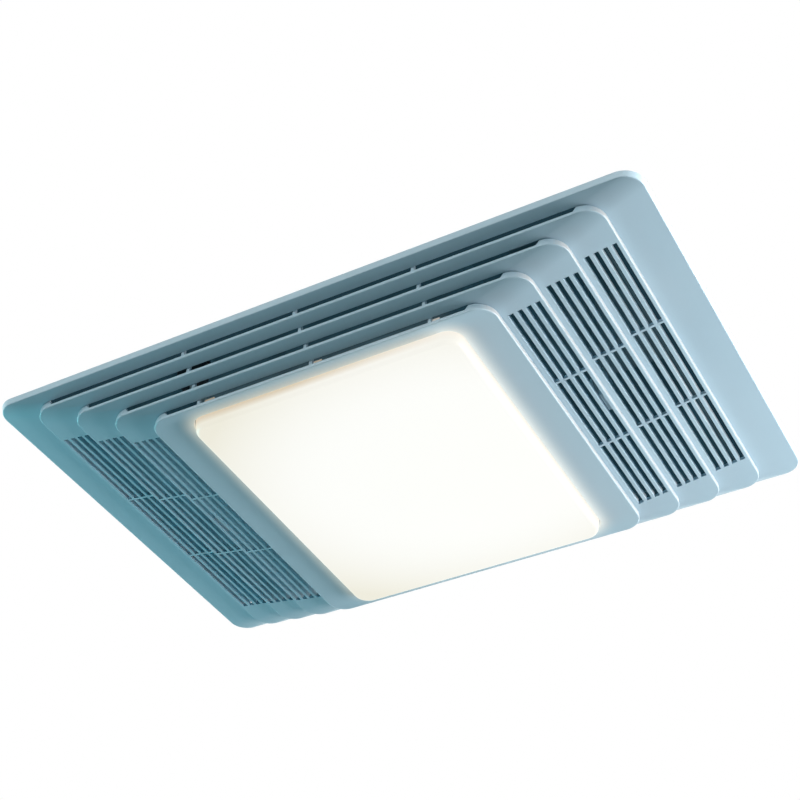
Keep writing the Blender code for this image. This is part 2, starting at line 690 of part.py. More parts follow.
def build_springs():
    shape = []
    for side in (-1, 1):
        leg = [(side * (SPRING_HALF + HOOK_LENGTH), SPRING_TOP),
               (side * (SPRING_HALF + WIRE_RADIUS), SPRING_TOP),
               (side * SPRING_HALF, SPRING_TOP - WIRE_RADIUS),
               (side * SPRING_HALF, -POST_DROP)]
        shape.append(leg)
    bend = []
    for k in range(1, BEND_STEPS):
        angle = math.pi + math.pi * k / BEND_STEPS
        bend.append((SPRING_HALF * math.cos(angle), -POST_DROP + SPRING_HALF * math.sin(angle)))
    path = shape[0] + bend + list(reversed(shape[1]))
    for name, side in (("spring_left", -1), ("spring_right", 1)):
        tube(name, [(side * SPRING_PLANE, y, z) for y, z in path], WIRE_RADIUS, WIRE, 1)


def build_spring_brackets():
    reach = CAN_INNER.x - GAP - SPRING_PLANE + BRACKET_OVERHANG
    outline = [(0, 0), (reach, 0), (reach, SHEET), (SHEET, SHEET), (SHEET, BRACKET_HEIGHT),
               (0, BRACKET_HEIGHT)]
    mesh = outline_mesh(outline, BRACKET_WIDTH)
    stand = Matrix.Rotation(math.radians(90), 4, "X")
    stand = Matrix.Translation((0, BRACKET_WIDTH / 2, 0)) @ stand
    mesh = moved(mesh, stand)
    slot_half = SPRING_HALF + WIRE_RADIUS + GAP
    for name, side in (("spring_bracket_left", -1), ("spring_bracket_right", 1)):
        turn = 0 if side < 0 else math.pi
        piece = place(name, mesh.copy(), STEEL, (side * (CAN_INNER.x - GAP), 0, BRACKET_RAISE),
                      (0, 0, turn))
        wire = WIRE_RADIUS + GAP
        low = (side * SPRING_PLANE - wire, -slot_half, BRACKET_RAISE - OVERRUN)
        high = (side * SPRING_PLANE + wire, slot_half, BRACKET_TOP + OVERRUN)
        boolean(piece, boxes_mesh([(low, high)]), "DIFFERENCE")


# Housing


def build_housing():
    loops = [square_ring(CAN_HALF, CAN_HEIGHT), square_ring(CAN_HALF, 0)]
    can = place("housing_can", skin_mesh(loops, first_cap=True), STEEL)
    thicken(can, SHEET)
    outlet = ((CAN_INNER.x - OVERRUN, OUTLET_Y - OUTLET_HALF.x, OUTLET_Z - OUTLET_HALF.y),
              (CAN_HALF.x + OVERRUN, OUTLET_Y + OUTLET_HALF.x, OUTLET_Z + OUTLET_HALF.y))
    boolean(can, boxes_mesh([outlet]), "DIFFERENCE")
    bored(can, SCREW_RADIUS + GAP, [(0, side * CAN_HALF.y, BRIDGE_HOLE_Z) for side in (-1, 1)],
          (0, 1, 0), OVERRUN)
    bored(can, GLAND_RADIUS + GAP, [(-CAN_HALF.x, 0, WIRING_MIDDLE)], (1, 0, 0), OVERRUN,
          TURN_SIDES)
    bored(can, SCREW_RADIUS + GAP, [wiring_screw_spot(), ground_spot()], (1, 0, 0), OVERRUN)
    boolean(can, joined([moved(stud_mesh(), frame) for frame in upright(stud_spots(), 0)]), "UNION")


def build_mounting_brackets():
    """A channel across each end wall; its turned-out ends are nailed to the joists."""
    back = CAN_HALF.x + GAP
    front = back + EAR_SHEET
    tip = back + EAR_REACH
    end = CAN_HALF.y
    for name, side in (("mounting_bracket_left", -1), ("mounting_bracket_right", 1)):
        points = [(back, -end), (tip, -end), (tip, -end + EAR_SHEET), (front, -end + EAR_SHEET),
                  (front, end - EAR_SHEET), (tip, end - EAR_SHEET), (tip, end), (back, end)]
        points = [(side * x, y) for x, y in points]
        bracket = place(name, outline_mesh(points, EAR_HEIGHT), STEEL, (0, 0, EAR_RAISE))
        middle = side * (front + tip) / 2
        heights = [EAR_RAISE + EAR_HEIGHT * share for share in NAIL_SHARES]
        spots = [(middle, sy * end, z) for sy in (-1, 1) for z in heights]
        bored(bracket, NAIL_RADIUS, spots, (0, 1, 0), OVERRUN)


# Lamp pan, bridge, sockets and lamps


def socket_back():
    return PAN_HALF.y - SHEET - GAP


def pan_screw_spots():
    return [(side * PAN_SCREW_PLACE, 0) for side in (-1, 1)]


def lead_hole():
    """Where the lamp lead comes down through the pan."""
    return Vector((-LAMP_PLACE, PAN_HALF.y - SOCKET_LENGTH / 2, PAN_TOP))


def build_pan():
    loops = [rounded_ring(PAN_HALF, PAN_CORNER, height, PAN_CORNER_STEPS)
             for height in (PAN_TOP, PAN_BOTTOM)]
    pan = place("light_pan", skin_mesh(loops, first_cap=True), WHITE_PAINT)
    thicken(pan, SHEET)
    bored(pan, SCREW_RADIUS + GAP, [(x, y, PAN_TOP) for x, y in pan_screw_spots()], (0, 0, 1),
          OVERRUN)
    bored(pan, SCREW_RADIUS + GAP, [(s * LAMP_PLACE, PAN_HALF.y, LAMP_AXIS) for s in (-1, 1)],
          (0, 1, 0), OVERRUN)
    bored(pan, BUSHING_NECK + GAP, [lead_hole()], (0, 0, 1), OVERRUN, TURN_SIDES)


def build_bushing():
    """Plastic bushing that lines the lead hole in the pan."""
    bore = LEAD_RADIUS + GAP
    profile = [(bore, BUSHING_LIP + GAP), (BUSHING_RADIUS, BUSHING_LIP + GAP),
               (BUSHING_RADIUS, GAP), (BUSHING_NECK, GAP), (BUSHING_NECK, -SHEET - BUSHING_LIP),
               (bore, -SHEET - BUSHING_LIP)]
    place("lead_bushing", turned_mesh(profile, True, SMALL_SIDES), BLACK_PLASTIC, lead_hole())


def build_bridge():
    """Sheet across the housing that carries the lamp pan."""
    outer = CAN_INNER.y - GAP
    points = [(-outer, -BRIDGE_DROP), (-outer + SHEET, -BRIDGE_DROP), (-outer + SHEET, 0),
              (outer - SHEET, 0), (outer - SHEET, -BRIDGE_DROP), (outer, -BRIDGE_DROP),
              (outer, SHEET), (-outer, SHEET)]
    turn = Matrix(((0, 0, 1, 0), (1, 0, 0, 0), (0, 1, 0, 0), (0, 0, 0, 1)))
    bridge = place("pan_bridge", moved(outline_mesh(points, BRIDGE_LENGTH), turn), STEEL,
                   (-BRIDGE_LENGTH / 2, 0, PAN_TOP + GAP))
    bored(bridge, SCREW_RADIUS + GAP, [(x, y, PAN_TOP) for x, y in pan_screw_spots()],
          (0, 0, 1), OVERRUN)
    bored(bridge, SCREW_RADIUS + GAP, [(0, side * outer, BRIDGE_HOLE_Z) for side in (-1, 1)],
          (0, 1, 0), OVERRUN)
    hole = lead_hole()
    bored(bridge, BUSHING_RADIUS + GAP, [(hole.x, hole.y, hole.z)], (0, 0, 1), OVERRUN, TURN_SIDES)
    seat = PAN_TOP + GAP + SHEET + GAP
    shank = seat - PAN_TOP + SHEET + SCREW_REACH
    fasteners(("pan_screw_left", "pan_screw_right"), screw_mesh(shank),
              upright(pan_screw_spots(), seat), STEEL)
    shank = GAP + SHEET + GAP + SHEET + SCREW_REACH
    fasteners(("bridge_screw_near", "bridge_screw_far"), screw_mesh(shank),
              [pointing((0, side, 0), (0, side * (CAN_HALF.y + GAP), BRIDGE_HOLE_Z))
               for side in (-1, 1)], STEEL)


def lamp_profile():
    """Half outline of a lamp, from its crown down to the contact of its screw base."""
    neck = max(SOCKET_FLOOR + GAP + BASE_LENGTH, SOCKET_LENGTH + GAP)
    centre = neck + BULB_LENGTH - BULB_RADIUS
    points = [(0, neck + BULB_LENGTH)]
    for k in range(1, BULB_STEPS + 1):
        angle = BULB_SWEEP * k / BULB_STEPS
        points.append((BULB_RADIUS * math.sin(angle), centre + BULB_RADIUS * math.cos(angle)))
    start = points[-1]
    for share in NECK_SHARES:
        ease = 1 - (1 - share) ** 2
        radius = start[0] + (NECK_RADIUS - start[0]) * ease
        points.append((radius, start[1] + (neck - start[1]) * share))
    foot = SOCKET_FLOOR + GAP
    points += [(BASE_RADIUS, neck), (BASE_RADIUS, foot + BASE_TAPER), (CONTACT_RADIUS, foot),
               (0, foot)]
    return points


def build_lamps():
    back = socket_back()
    cup = [(0, SOCKET_FLOOR), (BASE_RADIUS + GAP, SOCKET_FLOOR),
           (BASE_RADIUS + GAP, SOCKET_LENGTH), (SOCKET_RADIUS, SOCKET_LENGTH),
           (SOCKET_RADIUS, 0), (0, 0)]
    socket_mesh = turned_mesh(cup, False)
    lamp_mesh = turned_mesh(lamp_profile(), False, LAMP_SIDES)
    places = [(side * LAMP_PLACE, LAMP_AXIS) for side in (-1, 1)]
    frames = [pointing((0, -1, 0), (x, back, z)) for x, z in places]
    fasteners(("lamp_socket_left", "lamp_socket_right"), socket_mesh, frames, PORCELAIN)
    fasteners(("lamp_left", "lamp_right"), lamp_mesh, frames, GLASS)
    for name, (x, z) in zip(("lamp_socket_left", "lamp_socket_right"), places):
        bored(bpy.data.objects[name], SCREW_RADIUS + GAP, [(x, back, z)], (0, 1, 0),
              SOCKET_SCREW_DEPTH + GAP)
    shank = GAP + SHEET + GAP + SOCKET_SCREW_DEPTH
    fasteners(("socket_screw_left", "socket_screw_right"), screw_mesh(shank),
              [pointing((0, 1, 0), (x, PAN_HALF.y + GAP, z)) for x, z in places], STEEL)


# Blower


def scroll_outline(inset):
    """Spiral with a straight outlet towards +X, drawn in by inset, about the shaft."""
    outlet_end = CAN_INNER.x - GAP - AXIS.x + (OVERRUN if inset else 0)
    points = []
    sweep = math.radians(270) + TONGUE_ANGLE
    for k in range(SCROLL_STEPS + 1):
        share = k / SCROLL_STEPS
        angle = TONGUE_ANGLE - sweep * share
        radius = SCROLL_START + SCROLL_GROWTH * share - inset
        points.append((radius * math.cos(angle), radius * math.sin(angle)))
    points.append((outlet_end, SCROLL_END - inset))
    points.append((outlet_end, OUTLET_LOW + inset))
    points.reverse()
    return points


def scroll_screw_spots():
    radius = SCROLL_START - SCROLL_CLEARANCE * 2
    return [AXIS + radius * Vector((math.cos(a), math.sin(a))) for a in SCROLL_SCREW_ANGLES]


def stud_spots():
    x, y = PLATE_HALF - Vector((STUD_INSET, STUD_INSET))
    return [AXIS + Vector(spot) for spot in ((-x, y), (-x, -y), (x, -y))]


def build_blower():
    height = SCROLL_TOP - SCROLL_BOTTOM
    scroll = place("blower_scroll", outline_mesh(scroll_outline(0), height), STEEL,
                   (*AXIS, SCROLL_BOTTOM))
    inner = outline_mesh(scroll_outline(SCROLL_SHEET), height - SCROLL_SHEET + OVERRUN)
    boolean(scroll, inner, "DIFFERENCE",
            Matrix.Translation((*AXIS, SCROLL_BOTTOM - OVERRUN)))
    bored(scroll, SHAFT_HOLE, [(*AXIS, SCROLL_TOP)], (0, 0, 1), OVERRUN, TURN_SIDES)
    bored(scroll, SCREW_RADIUS + GAP, [(*spot, SCROLL_TOP) for spot in scroll_screw_spots()],
          (0, 0, 1), OVERRUN)

    plate = place("inlet_plate", outline_mesh(scroll_outline(0), SCROLL_SHEET), STEEL,
                  (*AXIS, INLET_BOTTOM))
    bored(plate, INLET_RADIUS + GAP, [(*AXIS, INLET_TOP)], (0, 0, 1), OVERRUN, TURN_SIDES)
    profile = [(INLET_RADIUS - INLET_WALL, INLET_TOP + INLET_RISE),
               (INLET_RADIUS, INLET_TOP + INLET_RISE), (INLET_RADIUS, INLET_BOTTOM - GAP),
               (INLET_RADIUS + INLET_LIP, INLET_BOTTOM - GAP),
               (INLET_RADIUS + INLET_LIP, INLET_BOTTOM - GAP - SCROLL_SHEET),
               (INLET_RADIUS - INLET_WALL + SCROLL_SHEET, INLET_BOTTOM - GAP - SCROLL_SHEET),
               (INLET_RADIUS - INLET_WALL, INLET_TOP)]
    place("inlet_ring", turned_mesh(profile, True), BLACK_PLASTIC, (*AXIS, 0))

    motor_plate = box("motor_plate",
                      (*(AXIS - PLATE_HALF), MOTOR_PLATE_BOTTOM),
                      (*(AXIS + PLATE_HALF), MOTOR_PLATE_TOP), STEEL)
    bored(motor_plate, SHAFT_HOLE, [(*AXIS, MOTOR_PLATE_TOP)], (0, 0, 1), OVERRUN, TURN_SIDES)
    spots = scroll_screw_spots() + motor_screw_spots()
    bored(motor_plate, SCREW_RADIUS + GAP, [(*spot, MOTOR_PLATE_TOP) for spot in spots],
          (0, 0, 1), OVERRUN)
    bored(motor_plate, STUD_RADIUS + GAP, [(*spot, MOTOR_PLATE_TOP) for spot in stud_spots()],
          (0, 0, 1), OVERRUN)
    shank = GAP + MOTOR_PLATE + GAP + SCROLL_SHEET + SCREW_REACH / 2
    fasteners(("scroll_screw_1", "scroll_screw_2", "scroll_screw_3"), screw_mesh(shank),
              upright(scroll_screw_spots(), MOTOR_PLATE_TOP + GAP), STEEL)


def stud_mesh():
    """Stud welded to the top of the housing: a shoulder for the motor plate and a thread."""
    top = CAN_CEILING + SHEET / 2
    shoulder = MOTOR_PLATE_TOP + GAP
    foot = MOTOR_PLATE_BOTTOM - GAP - NUT_HEIGHT - SCREW_REACH
    profile = [(0, top), (STUD_SHOULDER, top), (STUD_SHOULDER, shoulder), (STUD_RADIUS, shoulder),
               (STUD_RADIUS, foot), (0, foot)]
    return turned_mesh(profile, False, SMALL_SIDES)


def build_nuts():
    bore = (STUD_RADIUS + GAP) / math.cos(math.pi / NUT_SIDES)
    nut = turned_mesh(ring_profile(bore, NUT_RADIUS, 0, NUT_HEIGHT), True, NUT_SIDES)
    low = MOTOR_PLATE_BOTTOM - GAP - NUT_HEIGHT
    fasteners(("stud_nut_1", "stud_nut_2", "stud_nut_3"), nut, upright(stud_spots(), low), STEEL)


def build_wheel():
    low, top = WHEEL_BOTTOM, WHEEL_TOP
    profile = [(HUB_RADIUS, top), (WHEEL_RADIUS, top), (WHEEL_RADIUS, low), (EYE_RADIUS, low),
               (EYE_RADIUS, top - WHEEL_PLATE), (HUB_RADIUS, top - WHEEL_PLATE)]
    wheel = place("blower_wheel", turned_mesh(profile, True, BLADES * 2), WHEEL_PLASTIC,
                  (*AXIS, 0))
    middle = WHEEL_RADIUS - WHEEL_BAND / 2
    pitch = 2 * math.pi * EYE_RADIUS / BLADES
    width = pitch * BLADE_GAP_SHARE * math.cos(BLADE_SLANT)
    reach = WHEEL_BAND / math.cos(BLADE_SLANT) / 2 + width / 2 + RUN
    window = boxes_mesh([((-reach, -width / 2, low + WHEEL_RING),
                          (reach, width / 2, top - WHEEL_PLATE - WHEEL_RING / 2))])
    cutters = []
    for k in range(BLADES):
        spin = Matrix.Rotation(2 * math.pi * (k + 0.5) / BLADES, 4, "Z")
        slant = Matrix.Rotation(BLADE_SLANT, 4, "Z")
        cutters.append(moved(window, spin @ Matrix.Translation((middle, 0, 0)) @ slant))
    boolean(wheel, joined(cutters), "DIFFERENCE", Matrix.Translation((*AXIS, 0)))

    flange = top + GAP
    bore = SHAFT_RADIUS + GAP
    neck = HUB_RADIUS - GAP
    hub = [(bore, flange + HUB_FLANGE_SHEET), (HUB_FLANGE, flange + HUB_FLANGE_SHEET),
           (HUB_FLANGE, flange), (neck, flange), (neck, flange - HUB_LENGTH),
           (bore, flange - HUB_LENGTH)]
    place("wheel_hub", turned_mesh(hub, True, TURN_SIDES), BRASS, (*AXIS, 0))


# Motor


def motor_screw_spots():
    return [AXIS + Vector((side * MOTOR_SCREW_PLACE, 0)) for side in (-1, 1)]


def build_motor():
    x, y = AXIS
    stator = box("stator", (x - STATOR_LENGTH / 2, y - STATOR_BACK, STATOR_BOTTOM),
                 (x + STATOR_LENGTH / 2, y + STATOR_FRONT, STATOR_TOP), IRON)
    bored(stator, ROTOR_RADIUS + ROTOR_PLAY, [(*AXIS, STATOR_TOP)], (0, 0, 1),
          STATOR_HEIGHT + OVERRUN, TURN_SIDES)
    window_top = y + STATOR_FRONT - COIL_LEG
    window = ((x - WINDOW_HALF_LENGTH, window_top - STATOR_WINDOW, STATOR_BOTTOM - OVERRUN),
              (x + WINDOW_HALF_LENGTH, window_top, STATOR_TOP + OVERRUN))
    boolean(stator, boxes_mesh([window]), "DIFFERENCE")
    spots = [(*spot, STATOR_TOP) for spot in motor_screw_spots()]
    bored(stator, SCREW_RADIUS + GAP, spots, (0, 0, 1), STATOR_HEIGHT + OVERRUN)

    leg_low, leg_high = window_top, y + STATOR_FRONT
    wall = COIL_WALL
    coil = box("motor_coil", (x - COIL_HALF_LENGTH, leg_low - GAP - wall, STATOR_BOTTOM - GAP - wall),
               (x + COIL_HALF_LENGTH, leg_high + GAP + wall, STATOR_TOP + GAP + wall), COPPER)
    core = ((x - COIL_HALF_LENGTH - OVERRUN, leg_low - GAP, STATOR_BOTTOM - GAP),
            (x + COIL_HALF_LENGTH + OVERRUN, leg_high + GAP, STATOR_TOP + GAP))
    edge = coil.modifiers.new("round", "BEVEL")
    edge.width = COIL_WALL / 3
    edge.segments = 2
    boolean(coil, boxes_mesh([core]), "DIFFERENCE")

    ring = ring_profile(SHAFT_RADIUS + GAP, ROTOR_RADIUS, STATOR_BOTTOM + ROTOR_INSET,
                        STATOR_TOP - ROTOR_INSET)
    place("rotor", turned_mesh(ring, True), IRON, (*AXIS, 0))
    shaft_low = WHEEL_TOP + GAP - HUB_LENGTH - SCREW_REACH
    shaft_top = UPPER_BEARING_TOP + SCREW_REACH
    shaft = cylinder_mesh(SHAFT_RADIUS, shaft_low, shaft_top, SHAFT_SIDES)
    place("motor_shaft", shaft, WIRE, (*AXIS, 0))

    for name, low in (("lower", LOWER_BEARING), ("upper", UPPER_BEARING)):
        plate = box("bearing_plate_" + name,
                    (x - BEARING_PLATE_LENGTH / 2, y - BEARING_PLATE_WIDTH / 2, low),
                    (x + BEARING_PLATE_LENGTH / 2, y + BEARING_PLATE_WIDTH / 2,
                     low + BEARING_PLATE), IRON)
        bored(plate, BEARING_RADIUS + GAP, [(*AXIS, low)], (0, 0, 1), BEARING_PLATE + OVERRUN,
              SHAFT_SIDES)
        bored(plate, SCREW_RADIUS + GAP, [(*spot, low) for spot in motor_screw_spots()],
              (0, 0, 1), BEARING_PLATE + OVERRUN)
        ring = ring_profile(SHAFT_RADIUS + GAP, BEARING_RADIUS, low, low + BEARING_PLATE)
        place("bearing_" + name, turned_mesh(ring, True, SHAFT_SIDES), BRASS, (*AXIS, 0))
    grommet = turned_mesh(ring_profile(SCREW_RADIUS + GAP, GROMMET_RADIUS, 0, GROMMET_HEIGHT),
                          True, SMALL_SIDES)
    fasteners(("motor_grommet_left", "motor_grommet_right"), grommet,
              upright(motor_screw_spots(), MOTOR_PLATE_TOP + GAP), RUBBER)
    seat = UPPER_BEARING_TOP + GAP
    fasteners(("motor_screw_left", "motor_screw_right"), screw_mesh(seat - MOTOR_PLATE_BOTTOM),
              upright(motor_screw_spots(), seat), STEEL)


# Duct collar and damper


def build_collar():
    inner = DUCT_RADIUS - DUCT_WALL
    low = GAP
    profile = [(inner, DUCT_LENGTH), (DUCT_RADIUS, DUCT_LENGTH),
               (DUCT_RADIUS, low + DUCT_FLANGE_SHEET),
               (DUCT_RADIUS + DUCT_FLANGE, low + DUCT_FLANGE_SHEET),
               (DUCT_RADIUS + DUCT_FLANGE, low), (inner, low)]
    collar = place("duct_collar", turned_mesh(profile, True, DUCT_SIDES), BLACK_PLASTIC)
    collar.matrix_world = pointing((1, 0, 0), (CAN_HALF.x, OUTLET_Y, OUTLET_Z))
    bored(collar, DAMPER_PIN_RADIUS + GAP, [(DAMPER_X, OUTLET_Y, PIN_Z)], (0, 1, 0), DUCT_RADIUS)


def build_damper():
    """A flap over the outlet of the housing; its barrel turns on a pin across the collar."""
    reach = math.sqrt(DUCT_RADIUS ** 2 - DAMPER_PIN_RISE ** 2)
    pivot = pointing((0, 1, 0), (DAMPER_X, OUTLET_Y, PIN_Z))
    place("damper_pin", cylinder_mesh(DAMPER_PIN_RADIUS, -reach, reach, SMALL_SIDES),
          WIRE).matrix_world = pivot
    half = OUTLET_HALF + Vector((DAMPER_OVERLAP, DAMPER_OVERLAP))
    back = CAN_HALF.x + DAMPER_SEAT - DAMPER_X
    plate = ((back, -half.x, OUTLET_Z - half.y - PIN_Z), (back + DAMPER_SHEET, half.x, 0))
    flap = place("damper_flap", boxes_mesh([plate]), BLACK_PLASTIC, (DAMPER_X, OUTLET_Y, PIN_Z))
    top = DAMPER_PIN_RISE + DAMPER_BARREL
    length = math.sqrt((DUCT_RADIUS - DUCT_WALL) ** 2 - top ** 2) - RUN
    boolean(flap, cylinder_mesh(DAMPER_BARREL, -length, length, SMALL_SIDES), "UNION", pivot)
    bored(flap, DAMPER_PIN_RADIUS + GAP, [(DAMPER_X, OUTLET_Y, PIN_Z)], (0, 1, 0), DUCT_RADIUS)


# Wiring


def wiring_screw_spot():
    return (-CAN_HALF.x, 0, WIRING_BOTTOM - WIRING_FLANGE / 2)


def ground_spot():
    return (-CAN_HALF.x, WIRING_HALF_WIDTH * GROUND_PLACE_SHARE, WIRING_MIDDLE)


def receptacle_ys():
    return (("fan", RECEPTACLE_PLACE), ("light", -RECEPTACLE_PLACE))


def build_wiring_cover():
    half = Vector((WIRING_HEIGHT / 2, WIRING_HALF_WIDTH))
    rim = half + Vector((WIRING_FLANGE, WIRING_FLANGE))
    base = GAP + SHEET
    loops = [square_ring(half, WIRING_DEPTH), square_ring(half, base), square_ring(rim, base)]
    cover = place("wiring_cover", skin_mesh(loops, first_cap=True), STEEL)
    thicken(cover, SHEET)
    cover.matrix_world = pointing((1, 0, 0), (WALL_X, 0, WIRING_MIDDLE))
    room = Vector((RECEPTACLE.x, RECEPTACLE.y)) / 2 + Vector((GAP, GAP))
    holes = []
    for _, y in receptacle_ys():
        holes.append(((RECEPTACLE_X - room.x, y - room.y, WIRING_BOTTOM - OVERRUN),
                      (RECEPTACLE_X + room.x, y + room.y, WIRING_BOTTOM + OVERRUN)))
    boolean(cover, boxes_mesh(holes), "DIFFERENCE")
    bored(cover, SCREW_RADIUS + GAP, [wiring_screw_spot()], (1, 0, 0), OVERRUN)
    seat = WALL_X + GAP + SHEET + GAP
    _, y, z = wiring_screw_spot()
    fasteners(("wiring_screw",), screw_mesh(seat + CAN_HALF.x + SCREW_REACH),
              [pointing((1, 0, 0), (seat, y, z))], STEEL)
    _, y, z = ground_spot()
    ground = screw_mesh(SHEET + GAP + SCREW_REACH)
    place("ground_screw", moved(ground, pointing((1, 0, 0), (WALL_X + GAP, y, z))), GREEN)


def build_receptacles():
    half = Vector((RECEPTACLE.x / 2, RECEPTACLE.y / 2))
    for name, y in receptacle_ys():
        middle = Vector((RECEPTACLE_X, y))
        body = box(name + "_receptacle", (*(middle - half), RECEPTACLE_BOTTOM),
                   (*(middle + half), RECEPTACLE_BOTTOM + RECEPTACLE.z), BLACK_PLASTIC)
        blades = []
        slots = []
        for side in (-1, 1):
            x = RECEPTACLE_X + side * BLADE_PLACE
            low = Vector((x - BLADE.x / 2, y - BLADE.y / 2, PLUG_TOP - GAP))
            high = Vector((x + BLADE.x / 2, y + BLADE.y / 2, PLUG_TOP + BLADE.z))
            room = Vector((GAP, GAP, GAP))
            blades.append((low - Vector((0, 0, BLADE.z / 2)), high))
            slots.append((low - Vector((0, 0, OVERRUN)) - room, high + room))
        boolean(body, boxes_mesh(slots), "DIFFERENCE")
        plug = box(name + "_plug", (*(middle - half), PLUG_BOTTOM), (*(middle + half), PLUG_TOP),
                   BLACK_PLASTIC)
        edge = plug.modifiers.new("round", "BEVEL")
        edge.width = RECEPTACLE.y / 8
        edge.segments = 2
        boolean(plug, boxes_mesh(blades), "UNION")


def build_gland():
    wall = -CAN_HALF.x
    neck_end = SHEET + GLAND_NECK
    profile = [(GLAND_BORE, neck_end), (GLAND_RADIUS, neck_end), (GLAND_RADIUS, -GAP),
               (GLAND_FLANGE, -GAP), (GLAND_FLANGE, -GAP - GLAND_FLANGE_LENGTH),
               (GLAND_RADIUS, -GAP - GLAND_FLANGE_LENGTH),
               (GLAND_RADIUS, -GAP - GLAND_FLANGE_LENGTH - GLAND_BARREL),
               (GLAND_BORE, -GAP - GLAND_FLANGE_LENGTH - GLAND_BARREL)]
    gland = place("cable_gland", turned_mesh(profile, True), STEEL)
    gland.matrix_world = pointing((1, 0, 0), (wall, 0, WIRING_MIDDLE))
    low = SHEET + GAP
    ring = ring_profile(GLAND_RADIUS + GAP, LOCKNUT_RADIUS, low, low + LOCKNUT_HEIGHT)
    nut = place("gland_locknut", turned_mesh(ring, True), STEEL)
    nut.matrix_world = pointing((1, 0, 0), (wall, 0, WIRING_MIDDLE))


def smooth_path(route, steps):
    """Points on a smooth curve through a route; its first and last stretch run straight."""
    spots = [Vector(spot) for spot in route]
    points = [spots[0]]
    for a, b, c, d in zip(spots, spots[1:], spots[2:], spots[3:]):
        for k in range(steps):
            t = k / steps
            points.append(0.5 * (2 * b + (c - a) * t + (2 * a - 5 * b + 4 * c - d) * t ** 2
                                 + (3 * b - a - 3 * c + d) * t ** 3))
    return points + spots[-2:]


def build_leads():
    ys = dict(receptacle_ys())
    drop = LEAD_RADIUS * 4
    gap_x = (WIRING_FACE + AXIS.x - PLATE_HALF.x) / 2
    coil_x = AXIS.x - COIL_HALF_LENGTH - GAP
    leg = AXIS.y + STATOR_FRONT + GAP + COIL_WALL / 2
    coil_z = (STATOR_TOP + STATOR_BOTTOM) / 2
    start = PLUG_BOTTOM - GAP
    fan = [(RECEPTACLE_X, ys["fan"], start), (RECEPTACLE_X, ys["fan"], start - drop / 2),
           (RECEPTACLE_X + drop / 2, ys["fan"], start - drop),
           (gap_x - drop, ys["fan"], start - drop), (gap_x, ys["fan"], start),
           (gap_x, ys["fan"], WIRING_BOTTOM), (gap_x, ys["fan"], coil_z - drop),
           (gap_x + drop, ys["fan"], coil_z), (coil_x - drop * 2, leg, coil_z),
           (coil_x, leg, coil_z)]
    tube("fan_lead", smooth_path(fan, LEAD_STEPS), LEAD_RADIUS, LEAD)
    hole = lead_hole()
    level = PAN_TOP + GAP + BUSHING_LIP + drop
    socket_top = LAMP_AXIS + SOCKET_RADIUS + GAP
    light = [(RECEPTACLE_X, ys["light"], start), (RECEPTACLE_X, ys["light"], start - drop / 2),
             (RECEPTACLE_X + drop, ys["light"], level + drop),
             (RECEPTACLE_X + drop * 4, ys["light"], level),
             (-PAN_HALF.x - drop, hole.y / 2, level), (hole.x - drop * 2, hole.y, level),
             (hole.x - drop / 4, hole.y, level - drop / 4), (hole.x, hole.y, PAN_TOP),
             (hole.x, hole.y, socket_top)]
    tube("light_lead", smooth_path(light, LEAD_STEPS), LEAD_RADIUS, LEAD)


build_grille()
build_lens()
build_springs()
build_spring_brackets()
build_housing()
build_mounting_brackets()
build_pan()
build_bushing()
build_bridge()
build_lamps()
build_blower()
build_nuts()
build_wheel()
build_motor()
build_collar()
build_damper()
build_wiring_cover()
build_receptacles()
build_gland()
build_leads()
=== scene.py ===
"""Looks for a bathroom ceiling fan with a light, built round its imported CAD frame.

Metres, +Z up. The back of the grille lies in the ceiling plane z = 0, the room is below it and
the steel housing above it.
"""
import math

import bmesh
import bpy
from mathutils import Matrix, Vector


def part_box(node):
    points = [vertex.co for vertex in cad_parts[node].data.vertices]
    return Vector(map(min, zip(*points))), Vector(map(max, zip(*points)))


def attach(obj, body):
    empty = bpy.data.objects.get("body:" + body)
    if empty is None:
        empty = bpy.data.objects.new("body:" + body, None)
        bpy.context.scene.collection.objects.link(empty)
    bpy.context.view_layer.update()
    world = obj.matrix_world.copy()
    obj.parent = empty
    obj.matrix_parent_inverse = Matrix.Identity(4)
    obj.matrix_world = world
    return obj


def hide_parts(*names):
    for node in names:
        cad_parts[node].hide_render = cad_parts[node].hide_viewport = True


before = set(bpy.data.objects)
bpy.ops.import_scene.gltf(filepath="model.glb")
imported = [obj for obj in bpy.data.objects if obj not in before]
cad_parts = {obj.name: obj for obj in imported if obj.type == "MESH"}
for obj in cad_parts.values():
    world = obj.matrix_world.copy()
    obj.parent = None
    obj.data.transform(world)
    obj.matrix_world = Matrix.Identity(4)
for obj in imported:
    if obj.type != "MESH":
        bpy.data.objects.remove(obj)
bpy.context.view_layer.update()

bl_info = {
    "name": "Bathroom fan with light",
    "version": (1, 0, 0),
    "blender": (4, 5, 0),
    "location": "View3D > Sidebar > Fan",
    "description": "Builds the finished pieces of a ceiling fan with a light on its CAD frame",
    "category": "Object",
}

GRILLE_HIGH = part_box("grille")[1]
LENS_LOW, LENS_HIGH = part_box("lens")
CAN_LOW, CAN_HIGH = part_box("housing_can")
WHEEL_LOW, WHEEL_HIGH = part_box("blower_wheel")
COLLAR_LOW, COLLAR_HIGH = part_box("duct_collar")
GLAND_LOW, GLAND_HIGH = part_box("cable_gland")
PAN_LOW, PAN_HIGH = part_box("light_pan")
FLAP_LOW, FLAP_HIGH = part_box("damper_flap")

